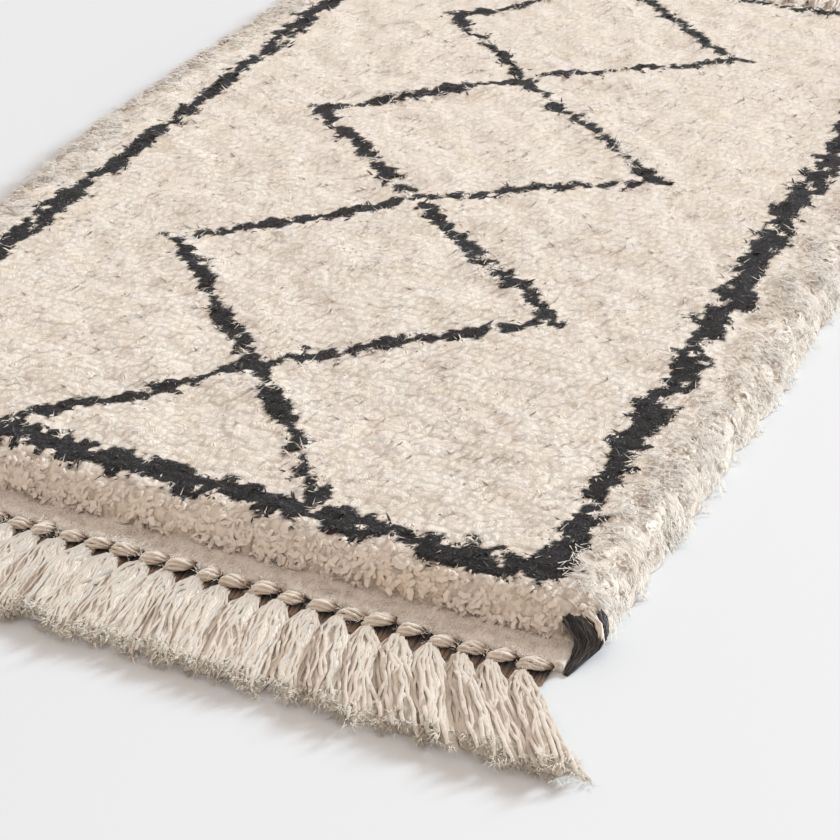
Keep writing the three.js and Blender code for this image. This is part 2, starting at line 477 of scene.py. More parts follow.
def darkness(x, y):
    """Above 0 where the knots are black, in millimetres inside a line's ragged edge."""
    x, y = x / MM, y / MM
    wander_x = 3.0 * value_noise(x, y, 42, 11) + 2.2 * value_noise(x, y, 13, 12)
    wander_y = 3.0 * value_noise(x, y, 42, 13) + 2.2 * value_noise(x, y, 13, 14)
    u, v = x + wander_x, y + wander_y
    swell = 1.0 + 0.3 * value_noise(x, y, 24, 15) + 0.4 * value_noise(x, y, 11, 16)
    inside = np.full(np.shape(x), -1e3)
    for half_width, (ax, ay), (bx, by) in lattice_lines():
        along_x, along_y = bx - ax, by - ay
        t = ((u - ax) * along_x + (v - ay) * along_y) / (along_x**2 + along_y**2)
        t = np.clip(t, 0.0, 1.0)
        distance = np.hypot(u - ax - t * along_x, v - ay - t * along_y)
        inside = np.maximum(inside, half_width * swell - distance)
    return inside


# =====================================================================================================
# Mesh helpers
# =====================================================================================================
def new_object(name, data):
    """A mesh, lamp or camera set in the scene."""
    thing = bpy.data.objects.new(name, data)
    bpy.context.scene.collection.objects.link(thing)
    return thing


def store(mesh, name, values):
    """Writes one number, whole number or vector for each point."""
    values = np.asarray(values)
    kind, key = ("FLOAT_VECTOR", "vector") if values.ndim == 2 else ("FLOAT", "value")
    if values.ndim == 1 and values.dtype.kind == "i":
        kind = "INT"
    attribute = mesh.attributes.new(name, kind, "POINT")
    attribute.data.foreach_set(key, values.ravel())


def points_mesh(name, points, edges=(), **attributes):
    """A mesh of bare points, or of threads where edges join them, with values on its points."""
    mesh = bpy.data.meshes.new(name)
    mesh.from_pydata(np.asarray(points).tolist(), [tuple(e) for e in edges], [])
    for key, values in attributes.items():
        store(mesh, key, values)
    return mesh


def grid_faces(rows, columns):
    """Quads over a grid of points numbered row by row, facing up where x runs along a row."""
    r, c = np.meshgrid(np.arange(rows - 1), np.arange(columns - 1), indexing="ij")
    a = (r * columns + c).ravel()
    return np.stack([a, a + 1, a + columns + 1, a + columns], -1)


def ring_faces(rows, columns, start=0):
    """Quads round a tube whose rings are the rows of a grid, and a face over each of its ends."""
    ring = start + np.arange(rows * columns).reshape(rows, columns)
    ahead = np.roll(ring, -1, 1)
    quads = np.stack([ring[:-1], ring[1:], ahead[1:], ahead[:-1]], -1).reshape(-1, 4)
    return quads.tolist() + [ring[0].tolist(), ring[-1, ::-1].tolist()]


def on_rings(values):
    """Values on the top of a tube, with 0 on the two points at the foot of each ring."""
    return np.pad(values, ((0, 0), (0, 2))).ravel()


def lay_on_rings(*parts):
    """The lay of the fibres on a tube, from its three numbers."""
    return np.stack([on_rings(part) for part in parts], -1)


def solid(name, points, faces, material, attributes):
    """A closed piece with smooth shading and values on its points."""
    mesh = bpy.data.meshes.new(name)
    mesh.from_pydata(points.tolist(), [], faces)
    for key, values in attributes.items():
        store(mesh, key, values)
    mesh.shade_smooth()
    mesh.materials.append(material)
    return new_object(name, mesh)


def closed_slab(name, x, y, top, bottom, material, **attributes):
    """A closed sheet with a height field on top and one flat face underneath."""
    rows, columns = x.shape
    count = rows * columns
    near = np.arange(columns)
    west = np.arange(rows) * columns
    rim = np.concatenate([near, west[1:] + columns - 1, count - 2 - near[:-1], west[-2:0:-1]])
    upper = np.stack([x, y, top], -1).reshape(-1, 3)
    lower = upper[rim] * (1, 1, 0) + (0, 0, bottom)
    under = count + np.arange(len(rim))
    walls = np.stack([under, np.roll(under, -1), np.roll(rim, -1), rim], -1)
    faces = grid_faces(rows, columns).tolist() + walls.tolist() + [under[::-1].tolist()]
    for key, values in attributes.items():
        values = values.reshape(count, -1).squeeze()
        attributes[key] = np.concatenate([values, values[rim]])
    return solid(name, np.concatenate([upper, lower]), faces, material, attributes)


def soften(piece, towards, share):
    """Turns a piece's shading part of the way to a softer surface's, as deep wool shades. towards
    gives the softer normals at places x, y, z, and share may depend on x and y."""
    mesh = piece.data
    points = points_of(mesh)
    own = np.empty(points.size)
    mesh.vertex_normals.foreach_get("vector", own)
    soft = towards(*points.T)
    if callable(share):
        share = share(*points[:, :2].T)[:, None]
    blend = (1 - share) * own.reshape(-1, 3) + share * soft
    blend /= np.maximum(np.linalg.norm(blend, axis=1), 1e-6)[:, None]
    mesh.normals_split_custom_set_from_vertices(blend)


def map_from_above(mesh):
    """A map laid straight down on the rug, so that each place keeps its own colours."""
    corners = np.empty(len(mesh.loops), int)
    mesh.loops.foreach_get("vertex_index", corners)
    flat = points_of(mesh)[corners, :2]
    low, high = flat.min(0), flat.max(0)
    layer = mesh.uv_layers.new(name="OFBake")
    layer.uv.foreach_set("vector", ((flat - low) / (high - low) * 0.98 + 0.01).ravel())


# =====================================================================================================
# Geometry node trees
# =====================================================================================================
def new_tree(name, sockets):
    """An empty geometry tree with named inputs, each a row of name, type and default."""
    tree = bpy.data.node_groups.new(name, "GeometryNodeTree")
    tree.is_modifier = True
    tree.interface.new_socket("Geometry", in_out="INPUT", socket_type="NodeSocketGeometry")
    for label, kind, default in sockets:
        item = tree.interface.new_socket(label, in_out="INPUT", socket_type=kind)
        if default is not None:
            item.default_value = default
    tree.interface.new_socket("Geometry", in_out="OUTPUT", socket_type="NodeSocketGeometry")
    graph = Graph(tree)
    entry = tree.nodes.new("NodeGroupInput")
    return tree, graph, {s.name: Value(graph, s) for s in entry.outputs if s.name}


def finish_tree(graph, geometry, material):
    """Ends a tree as every one here ends: plain geometry with its material."""
    plain = graph.add("GeometryNodeRealizeInstances", {}, {0: geometry})
    finished = graph.add("GeometryNodeSetMaterial", {}, {0: plain, "Material": material})
    graph.add("NodeGroupOutput", {}, {0: finished})


def named(graph, name, kind="FLOAT"):
    return graph.add("GeometryNodeInputNamedAttribute", {"data_type": kind}, {"Name": name})


def planting_tree():
    """Sets one of several kinds on each point, turned and grown as the point says."""
    tree, graph, given = new_tree(
        "plant on points",
        [
            ("Kinds", "NodeSocketCollection", None),
            ("Size", "NodeSocketFloat", 1.0),
            ("Spin", "NodeSocketFloat", 0.4),
            ("Seed", "NodeSocketInt", 1),
            ("Finish", "NodeSocketMaterial", None),
        ],
    )
    kinds = graph.add(
        "GeometryNodeCollectionInfo",
        {},
        {"Collection": given["Kinds"], "Separate Children": True, "Reset Children": True},
    )
    spin = graph.add(
        "FunctionNodeRandomValue",
        {"data_type": "FLOAT"},
        {2: given["Spin"] * -1.0, 3: given["Spin"], "Seed": given["Seed"]},
        output=1,
    )
    about_root = graph.add("ShaderNodeCombineXYZ", {}, {"Z": spin})
    turn = graph.add("FunctionNodeEulerToRotation", {}, {0: named(graph, "turn", "FLOAT_VECTOR")})
    own_turn = graph.add("FunctionNodeEulerToRotation", {}, {0: about_root})
    turned = graph.add(
        "FunctionNodeRotateRotation", {"rotation_space": "LOCAL"}, {0: turn, 1: own_turn}
    )
    grown = graph.vector("SCALE", named(graph, "grow", "FLOAT_VECTOR"), given["Size"], "Scale")
    planted = graph.add(
        "GeometryNodeInstanceOnPoints",
        {},
        {
            "Points": given["Geometry"],
            "Instance": kinds,
            "Pick Instance": True,
            "Instance Index": named(graph, "kind", "INT"),
            "Rotation": turned,
            "Scale": grown,
        },
    )
    finish_tree(graph, planted, given["Finish"])
    return tree


def spinning_tree():
    """Turns threads of points into yarn: a round section swept along each, closed at both ends."""
    tree, graph, given = new_tree(
        "spin yarn along threads",
        [
            ("Thickness", "NodeSocketFloat", 1.0),
            ("Sides", "NodeSocketInt", 5),
            ("Finish", "NodeSocketMaterial", None),
        ],
    )
    threads = graph.add("GeometryNodeMeshToCurve", {}, {0: given["Geometry"]})
    section = graph.add(
        "GeometryNodeCurvePrimitiveCircle", {"mode": "RADIUS"}, {0: given["Sides"], "Radius": 1.0}
    )
    marked = graph.add(
        "GeometryNodeStoreNamedAttribute",
        {"data_type": "FLOAT_VECTOR", "domain": "POINT"},
        {"Geometry": section, "Name": "ring", "Value": graph.add("GeometryNodeInputPosition")},
    )
    yarn = graph.add(
        "GeometryNodeCurveToMesh",
        {},
        {0: threads, 1: marked, 2: named(graph, "radius") * given["Thickness"], 3: True},
    )
    rounded = graph.add("GeometryNodeSetShadeSmooth", {}, {0: yarn})
    finish_tree(graph, rounded, given["Finish"])
    return tree


PLANT = planting_tree()
SPIN = spinning_tree()


def made_by(tree, name, mesh, **inputs):
    """Runs a tree on a mesh and returns the result as a plain piece."""
    source = new_object(name + "_source", mesh)
    modifier = source.modifiers.new("make", "NODES")
    modifier.node_group = tree
    for item in tree.interface.items_tree:
        if item.in_out == "INPUT" and item.name in inputs:
            modifier[item.identifier] = inputs[item.name]
    graph = bpy.context.evaluated_depsgraph_get()
    made = bpy.data.meshes.new_from_object(source.evaluated_get(graph), depsgraph=graph)
    bpy.data.objects.remove(source)
    made.name = name
    return new_object(name, made)


LEAST_HEIGHT = 0.4 * MM  # about where fibres that would sink into the floor come to lie


def above_floor(piece):
    """Lets what would sink into the floor lie on it instead."""
    mesh = piece.data
    points = points_of(mesh)
    sunk = np.minimum(0.0, points[:, 2] - LEAST_HEIGHT)
    heights = np.maximum(points[:, 2], LEAST_HEIGHT + 0.06 * sunk)
    points[:, 2] = np.maximum(heights, 0.0)
    mesh.vertices.foreach_set("co", points.ravel())
    mesh.update()


class Threads:
    """Collects threads, each a list of points with a radius and tone, to be spun in one go."""

    def __init__(self):
        self.points, self.edges = [], []
        self.values = {key: [] for key in ("radius", "tone", "tint", "along", "run")}

    def add(self, points, radius, tone, along=(0.0, 1.0)):
        """One thread. along is spread evenly from its start to its end."""
        start, count = len(self.points), len(points)
        steps = np.linalg.norm(np.diff(np.array(points), axis=0), axis=1)
        self.points += [tuple(p) for p in points]
        self.edges += [(start + i, start + i + 1) for i in range(count - 1)]
        new = {
            "radius": np.broadcast_to(radius, count),
            "tone": [tone] * count,
            "tint": [tone * 37.0 % 1.0] * count,
            "along": np.interp(np.linspace(0, 1, count), np.linspace(0, 1, len(along)), along),
            "run": [0.0, *np.cumsum(steps)],
        }
        for key, values in new.items():
            self.values[key] += list(values)

    def spun(self, name, sides, finish):
        """All the threads as one piece."""
        mesh = points_mesh(name, self.points, self.edges, **self.values)
        return made_by(SPIN, name, mesh, Thickness=1.0, Sides=sides, Finish=finish)


# =====================================================================================================
# Yarn ends of the pile
# =====================================================================================================
BENDS = (50, 68, 84, 100)  # degrees from root to tip
SHAPES_PER_BEND = 4
KINDS_OF_ONE_SORT = len(BENDS) * SHAPES_PER_BEND
STRAND_RINGS = ((0.4, 1.0), (0.8, 0.8))  # how far along a strand, and how thick there
CURL_RINGS = ((0.0, 0.0), (0.14, 0.85), (0.5, 1.0), (0.86, 0.85), (1.0, 0.0))
STRAND_SIDES = 3
PATH_STEPS = 16
BRUSH_KINDS = 8  # shapes of each sort of loose fibre


def bent_path(length, bend, heading, offset):
    """A path that rises from its root and lies over: its points and its directions."""
    place = np.array([offset[0], offset[1], 0.0])
    path, ways = [place], []
    for i in range(PATH_STEPS):
        lean = 0.2 + bend * smooth(min(1.0, (i + 0.5) / PATH_STEPS / 0.62))
        flat = math.sin(lean)
        way = np.array([flat * math.cos(heading), flat * math.sin(heading), math.cos(lean)])
        place = place + way * length / PATH_STEPS
        path.append(place)
        ways.append(way)
    return path, ways


class Tuft:
    """Gathers the strands of one tuft: points, faces and what the wool's finish needs to know."""

    def __init__(self, rng):
        self.rng = rng
        self.points, self.faces = [], []
        self.values = {key: [] for key in ("along", "tint", "ring", "run")}

    def add(self, points, faces, along, ring, run):
        """One strand, with a tint of its own."""
        start = len(self.points)
        self.points += points
        self.faces += [tuple(start + k for k in face) for face in faces]
        tint = [self.rng.uniform(0, 1)] * len(points)
        for key, values in zip(self.values, (along, tint, ring, run)):
            self.values[key] += values

    def add_strand(self, length, radius, bend, heading, offset):
        """One bent strand of wool with a blunt end."""
        path, ways = bent_path(length, bend, heading, offset)
        spin = self.rng.uniform(0, 2 * math.pi)
        points, along, ring = [path[0]], [0.0], [(0.0, 0.0, 0.0)]
        for t, share in STRAND_RINGS:
            i = int(t * PATH_STEPS)
            side = unit(np.cross(ways[i], (math.sin(heading), -math.cos(heading), 0.3)))
            over = np.cross(ways[i], side)
            for k in range(STRAND_SIDES):
                a = spin + k * 2 * math.pi / STRAND_SIDES
                points.append(path[i] + radius * share * (math.cos(a) * side + math.sin(a) * over))
                along.append(t)
                ring.append((math.cos(a), math.sin(a), 0.0))
        points.append(path[-1])
        along.append(1.0)
        ring.append((0.0, 0.0, 0.0))
        faces = []
        low, high = 1, 1 + STRAND_SIDES
        for k in range(STRAND_SIDES):
            n = (k + 1) % STRAND_SIDES
            faces.append((0, low + n, low + k))
            faces.append((low + k, low + n, high + n, high + k))
            faces.append((high + k, high + n, high + STRAND_SIDES))
        self.add(points, faces, along, ring, [t * length for t in along])

    def add_curl(self, reach, radius, sweep, height):
        """One plump strand curled round in an arc that lies on the pile."""
        rng = self.rng
        tilt, heading, start = rng.normal(0, 0.55), rng.uniform(0, ANY_TURN), rng.uniform(0, ANY_TURN)
        level, steep = math.cos(tilt), math.sin(tilt)
        one = np.array([math.cos(heading), math.sin(heading), 0.0])
        two = np.array([-math.sin(heading) * level, math.cos(heading) * level, steep])
        flat = np.cross(one, two)
        middle = np.array([*rng.uniform(-2.6, 2.6, 2) * MM, height])
        half_way = start + sweep / 2
        bow = math.cos(half_way) * one + math.sin(half_way) * two
        points, along, ring = [], [], []
        for t, share in CURL_RINGS:
            angle = start + sweep * t
            out = math.cos(angle) * one + math.sin(angle) * two
            place = middle + reach * (out - bow)
            for k in range(STRAND_SIDES if share else 1):
                a = k * 2 * math.pi / STRAND_SIDES
                point = place + radius * share * (math.cos(a) * out + math.sin(a) * flat)
                rise = (point[2] - height + 2 * MM) / MM
                points.append(point)
                # painted shade: the lower a point of the curl, the darker it colours
                along.append(float(np.clip(0.55 + 0.1 * rise, 0.3, 1.0)))
                ring.append((math.cos(a), math.sin(a), 0.0))
        faces = []
        last = 1 + 3 * STRAND_SIDES
        for k in range(STRAND_SIDES):
            n = (k + 1) % STRAND_SIDES
            faces.append((0, 1 + k, 1 + n))
            faces.append((last - STRAND_SIDES + n, last - STRAND_SIDES + k, last))
            for low in (1, 1 + STRAND_SIDES):
                faces.append((low + n, low + k, low + STRAND_SIDES + k, low + STRAND_SIDES + n))
        self.add(points, faces, along, ring, [0.5 * a * sweep * reach for a in along])

    def add_wisp(self, length, radius, bend, heading, offset):
        """One thin straight fibre."""
        path, _ = bent_path(length, bend, heading, offset)
        angle = self.rng.uniform(0, 2 * math.pi)
        middle, tip = path[len(path) // 2], path[-1]
        way = unit(tip - middle)
        side = unit(np.cross(way, (math.sin(angle), math.cos(angle), 0.3)))
        over = np.cross(way, side)
        points = [
            middle + radius * (math.cos(a) * side + math.sin(a) * over)
            for a in (angle, angle + 2.1, angle + 4.2)
        ]
        points.append(tip)
        faces = [(2, 1, 0), (0, 1, 3), (1, 2, 3), (2, 0, 3)]
        self.add(points, faces, [0.7, 0.7, 0.7, 1.0], [(0.0, 0.0, 0.0)] * 4, [0.0] * 4)

    def add_wisps(self, count, spread, length, radius, bend, veer=None):
        """Fibres that start near one root. Length and bend are ranges, and so is radius unless all
        are alike. They turn from +X by about veer, or go every way without it."""
        rng = self.rng
        for _ in range(count):
            offset = rng.uniform(-spread, spread, 2) * MM
            lean = rng.uniform(*bend)
            heading = rng.uniform(0, ANY_TURN) if veer is None else rng.normal(0, veer)
            reach = rng.uniform(*length) * MM
            thick = rng.uniform(*radius) if isinstance(radius, tuple) else radius
            self.add_wisp(reach, thick * MM, lean, heading, offset)

    def mesh(self, name):
        mesh = bpy.data.meshes.new(name)
        mesh.from_pydata([tuple(p) for p in self.points], [], self.faces)
        for key, values in self.values.items():
            store(mesh, key, values)
        mesh.shade_smooth()
        return mesh


def curled_tuft(tuft, bend):
    """The loose end of a cream knot's yarn at the pile's ends: short plump curls every way."""
    rng = tuft.rng
    for _ in range(4):
        reach, radius = rng.uniform(2.0, 3.4) * MM, rng.uniform(1.2, 1.9) * MM
        tuft.add_curl(reach, radius, rng.uniform(1.6, 3.0), rng.uniform(2.6, 5.6) * MM)
    for _ in range(2):
        offset = rng.uniform(-2.6, 2.6, 2) * MM
        tuft.add_wisp(rng.uniform(8, 11) * MM, 0.4 * MM, bend, rng.uniform(0, ANY_TURN), offset)


def slim_tuft(tuft, bend):
    """The loose end of a cream knot's yarn inside the pile: a slim strand and loose fibres."""
    rng = tuft.rng
    heading = rng.normal(0, 1.0)
    offset = rng.uniform(-2.6, 2.6, 2) * MM
    length, radius = rng.uniform(10, 14) * MM, rng.uniform(0.45, 0.8) * MM
    tuft.add_strand(length, radius, bend * rng.uniform(0.8, 1.1), heading, offset)
    tuft.add_wisps(5, 3.0, (10, 14), 0.34, (0.8 * bend, 1.1 * bend), 1.2)


def black_tuft(tuft, bend):
    """The loose end of one black knot's yarn, harsher wool in slim strands."""
    rng = tuft.rng
    for _ in range(2):
        heading = rng.normal(0, 0.9)
        offset = rng.uniform(-2.8, 2.8, 2) * MM
        length, radius = rng.uniform(9, 12.5) * MM, rng.uniform(0.6, 1.1) * MM
        tuft.add_strand(length, radius, bend * rng.uniform(0.75, 1.1), heading, offset)
    tuft.add_wisps(2, 2.6, (9, 12), 0.4, (0.8 * bend, 1.1 * bend), 0.8)


def kinds_of(label, fillers, seed):
    """A hidden collection of tufts, one for each filler in turn."""
    kinds = bpy.data.collections.new(label)
    rng = np.random.default_rng(seed)
    for number, fill in enumerate(fillers):
        tuft = Tuft(rng)
        fill(tuft)
        name = f"{label}_{number:02d}"
        kinds.objects.link(bpy.data.objects.new(name, tuft.mesh(name)))
    return kinds


def tufts_of(label, shapes, seed):
    """Tufts of one wool: each sort in turn, the least bent first."""
    bends = [math.radians(bend) for bend in BENDS for _ in range(SHAPES_PER_BEND)]
    return kinds_of(label, [partial(shape, bend=bend) for shape in shapes for bend in bends], seed)


def brushes(label, seed, **wisps):
    """Small brushes of loose fibre, all to the same sizes."""
    return kinds_of(label, [lambda tuft: tuft.add_wisps(**wisps)] * BRUSH_KINDS, seed)


def euler_of(up, ahead):
    """Turns, as XYZ angles, that take +Z to up and +X as near as can be to ahead."""
    z = unit(up)
    x = unit(ahead - (ahead * z).sum(-1, keepdims=True) * z)
    y = np.cross(z, x)
    about_y = -np.arcsin(np.clip(x[:, 2], -1, 1))
    about_x = np.arctan2(y[:, 2], z[:, 2])
    about_z = np.arctan2(x[:, 1], x[:, 0])
    return np.stack([about_x, about_y, about_z], -1)


STRAY = 0.38  # how far a clump's middle may be from the middle of its cell, in cells
CELLS = 512


def clump_pull(x, y, cell, seed):
    """For each place the way to the middle of its clump and how far off that is, both in clump
    sizes, and the clump's own random number from -1 to 1."""
    jitter = np.random.default_rng(seed).uniform(-STRAY, STRAY, (2, CELLS, CELLS))
    i, j = np.floor(x / cell).astype(int), np.floor(y / cell).astype(int)
    best, pull, chance = np.full(x.shape, np.inf), np.zeros(x.shape + (2,)), np.zeros(x.shape)
    for di in (-1, 0, 1):
        for dj in (-1, 0, 1):
            a, b = (i + di) % CELLS, (j + dj) % CELLS
            cx = (i + di + 0.5 + jitter[0, a, b]) * cell - x
            cy = (j + dj + 0.5 + jitter[1, a, b]) * cell - y
            distance = np.hypot(cx, cy)
            nearer = distance < best
            best = np.where(nearer, distance, best)
            pull[nearer] = np.stack([cx, cy], -1)[nearer]
            chance[nearer] = (jitter[0, a, b] / STRAY)[nearer]
    return pull / cell, best / cell, chance


def knot_grid():
    """Every pile knot, row by row: where it is, whether it is black and a random number of its own."""
    columns = np.arange(-WIDEST, WIDEST, KNOT_PITCH)
    rows = np.arange(-PILE_END, PILE_END, ROW_PITCH)
    x, y = np.meshgrid(columns, rows)
    x = x + (np.arange(len(rows)) % 2)[:, None] * KNOT_PITCH / 2
    rng = np.random.default_rng(41)
    dark = darkness(x, y) + rng.normal(0, 2.4, x.shape) > 0
    dark = dark & (rng.uniform(0, 1, x.shape) > 0.07)
    x = x + rng.normal(0, 1.0 * MM, x.shape)
    y = y + rng.normal(0, 1.2 * MM, y.shape)
    return x, y, dark, rng.uniform(0, 1, x.shape)


KNOT_X, KNOT_Y, KNOT_DARK, KNOT_CHANCE = knot_grid()


def nearest_knot(x, y):
    """The row and column of the knot nearest each place, and how far off it is in pitches."""
    row = np.round((y + PILE_END) / ROW_PITCH).astype(int)
    best = np.full(x.shape, np.inf)
    found = np.zeros((2,) + x.shape, int)
    for r in (row - 1, row, row + 1):
        r = np.clip(r, 0, KNOT_X.shape[0] - 1)
        column = np.round((x + WIDEST - (r % 2) * KNOT_PITCH / 2) / KNOT_PITCH).astype(int)
        for c in (column - 1, column, column + 1):
            c = np.clip(c, 0, KNOT_X.shape[1] - 1)
            off = np.hypot((x - KNOT_X[r, c]) / KNOT_PITCH, (y - KNOT_Y[r, c]) / ROW_PITCH)
            nearer = off < best
            best = np.where(nearer, off, best)
            found = np.where(nearer, (r, c), found)
    return found, best


def calm(y):
    """How much less the knots stand out along the rug: the far end has been trodden flatter."""
    return 1.0 - 0.6 * smooth(np.clip((y + 0.45) / 0.6, 0, 1))


def pile_height(x, y):
    """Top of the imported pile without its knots: the rounded edges and the soft mounds."""
    fall, _ = edge_fall(x, y)
    profile = np.sqrt(np.clip(1.0 - np.clip(fall, 0, 1) ** 2, 0, 1))
    mounds = 2.0 * MM * value_noise(x, y, 31 * MM, 31) + 1.0 * MM * value_noise(x, y, 12 * MM, 32)
    return CORE_FOOT + (CORE_TOP - CORE_FOOT + mounds) * profile


def pile_normals(x, y, _):
    """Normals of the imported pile's top, at places on and above it."""
    step = 2 * MM
    slope_x = (pile_height(x + step, y) - pile_height(x - step, y)) / (2 * step)
    slope_y = (pile_height(x, y + step) - pile_height(x, y - step)) / (2 * step)
    slope_y = slope_y * np.where(y < 0, 0.6, 0.25)
    return unit(np.stack([-slope_x, -slope_y, np.ones_like(x)], -1))


def side_normals(x, _, z):
    """Normals of the rounded side, outwards and more and more so towards the floor."""
    lean = np.clip(1.0 - z / CORE_TOP, 0, 1) * np.where(x > 0, 0.75, 0.4)
    return unit(np.stack([np.sign(x) * lean, 0 * x, np.ones_like(x)], -1))


def knot_places():
    """The knots that carry a tuft, and which of them are black. Where the pile falls away at the two
    ends there is a tuft between each two rows as well."""
    x, y, dark = KNOT_X.ravel(), KNOT_Y.ravel(), KNOT_DARK.ravel()
    rng = np.random.default_rng(42)
    ends = np.abs(y) > PILE_END - 19 * MM
    again = [x[ends] + 3 * MM, y[ends] + rng.uniform(-4, 4, ends.sum()) * MM, dark[ends]]
    x, y, dark = (np.concatenate(pair) for pair in zip((x, y, dark), again))
    fall, outward = edge_fall(x, y)
    beyond_locks = np.abs(y) > SIDE_END - 4 * MM
    kept = (fall <= 1.03) & (beyond_locks | (fall * np.abs(outward[..., 0]) < 0.66))
    sparse = 0.18 + 0.4 * smooth(np.clip((y + 0.25) / 0.5, 0, 1))
    kept = kept & (dark | (fall > 0.3) | (rng.uniform(0, 1, fall.shape) > sparse))
    return x[kept], y[kept], dark[kept]


def tuft_points(x, y, dark):
    """For each knot: place, turn, growth, kind of tuft and tone."""
    rng = np.random.default_rng(43)
    count = len(x)
    fall, outward = edge_fall(x, y)
    inside = 1.0 - fall
    small, _, _ = clump_pull(x, y, 12 * MM, 51)
    flow = np.stack([0.1 + value_noise(x, y, 19 * MM, 53), -0.45 + value_noise(x, y, 17 * MM, 54)], -1)
    heading = (
        flow * inside[:, None]
        + outward * fall[:, None] * 1.6
        + small * 0.5
        + rng.normal(0, 0.42, (count, 2))
    )
    tilt = outward * (0.75 * fall**1.5)[:, None] + rng.normal(0, 0.1, (count, 2))
    up = np.concatenate([tilt, (1.0 - 0.6 * fall)[:, None]], -1)
    ahead = np.concatenate([heading, np.zeros((count, 1))], -1)
    bend = np.clip(rng.normal(1.6, 0.9, count), 0, len(BENDS) - 1).round().astype(int)
    kind = bend * SHAPES_PER_BEND + rng.integers(0, SHAPES_PER_BEND, count)
    kind = kind + KINDS_OF_ONE_SORT * (fall < 0.3)
    length = (1.0 + 0.1 * rng.normal(0, 1, count)) * np.where(dark, 0.95, 1.0)
    width = 1.0 + 0.08 * rng.normal(0, 1, count) + 0.2 * fall * np.abs(outward[:, 1])
    at_line = np.abs(darkness(x, y)) < 4.5
    depth = np.where(fall < 0.3, 5.4 - 1.2 * at_line, 4.4) * MM
    place = np.stack([x, y, pile_height(x, y) - depth], -1)
    tone = np.clip(0.5 + 0.22 * rng.normal(0, 1, count) + 0.3 * value_noise(x, y, 25 * MM, 55), 0, 1)
    return place, euler_of(up, ahead), np.stack([width, width, length], -1), kind, tone


CREAM_TUFTS = tufts_of("cream tuft", [curled_tuft, slim_tuft], 21)
STRIPS = 4  # the cream tufts are pieces one behind another along the rug


def pile_softness(most):
    """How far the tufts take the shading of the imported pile, less so on its near slopes."""

    def share(x, y):
        fall, _ = edge_fall(x, y)
        return most - 0.25 * np.clip(2 * fall, 0, 1) * (y < 0)

    return share


def make_pile():
    """The tufts, as one piece of black wool and strips of cream wool along the rug."""
    x, y, dark = knot_places()
    *placed, kind, tone = tuft_points(x, y, dark)
    black = tufts_of("black tuft", [black_tuft, black_tuft], 22)
    strip = np.clip(((y + PILE_END) / (2 * PILE_END) * STRIPS).astype(int), 0, STRIPS - 1)
    parts = [("pile_black", dark, black, BLACK_WOOL, 0.45)]
    for s in range(STRIPS):
        parts.append((f"pile_cream_{s + 1}", ~dark & (strip == s), CREAM_TUFTS, CREAM_WOOL, 0.8))
    made = []
    for number, (name, chosen, kinds, finish, most) in enumerate(parts):
        place, turn, grow = (values[chosen] for values in placed)
        points = points_mesh(name, place, turn=turn, grow=grow, kind=kind[chosen], tone=tone[chosen])
        piece = made_by(PLANT, name, points, Kinds=kinds, Spin=0.45, Seed=number, Finish=finish)
        above_floor(piece)
        soften(piece, pile_normals, pile_softness(most))
        map_from_above(piece.data)
        made.append(piece)
    return made


CORE_STEP = 2.45 * MM
DOME = 1.5 * MM  # how far a knot's packed yarn stands out between its neighbours
UNEVEN = 0.85 * MM  # how much one knot stands higher than another


def make_core():
    """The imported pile: a low dome for every knot, each with the lay of its own fibres."""
    across = np.linspace(-1, 1, int(2 * WIDEST / CORE_STEP))
    reach = PILE_END - ROOT_INSET
    y = reach * np.linspace(-1, 1, int(2 * PILE_END / CORE_STEP))
    y = y - 0.16 * (reach**2 - y**2) / reach
    left, right = rooted_edges(y)
    x = left[:, None] + (across + 1) / 2 * (right - left)[:, None]
    y = np.broadcast_to(y[:, None], x.shape)
    stray_x = x + 1.6 * MM * value_noise(x, y, 5 * MM, 33)
    stray_y = y + 1.6 * MM * value_noise(x, y, 5 * MM, 34)
    knot, off = nearest_knot(stray_x, stray_y)
    knot = tuple(knot)
    chance = KNOT_CHANCE[knot]
    dome = np.clip(1.0 - 1.5 * off**2, 0.3, 1)
    fall, outward = edge_fall(x, y)
    relief = DOME * dome * (1 + 0.5 * fall) + UNEVEN * (chance - 0.5) * np.clip(1.4 - fall, 0, 1)
    relief = relief * calm(y)
    top = np.maximum(pile_height(x, y) + relief, GROUND_THICKNESS)
    turn = 2 * math.pi * ((chance * 7.3) % 1.0)
    from_x, from_y = (x - KNOT_X[knot]) / MM, (y - KNOT_Y[knot]) / MM
    lay = np.stack([*turned_by(from_x, from_y, -turn), chance * 40.0], -1)
    in_line = np.clip(0.5 + darkness(x, y) / 9, 0, 1)
    dark = 0.55 * KNOT_DARK[knot] + 0.45 * in_line
    piece = closed_slab(
        "pile_packed",
        x,
        y,
        top,
        GROUND_THICKNESS - 0.6 * MM,
        CORE_WOOL,
        tone=chance,
        dark=dark,
        # dome and depth carry painted shade: hollows between knots colour darker, more so on the near and
        # far slopes, and depth sets how strong
        dome=dome * (1 - 0.4 * np.clip(fall, 0, 1) * np.abs(outward[..., 1])),
        lay=lay,
        depth=0.4 * calm(y) ** 0.6,
    )
    soften(piece, pile_normals, lambda x, y: 0.95 - 0.6 * calm(y))
    map_from_above(piece.data)
    return piece


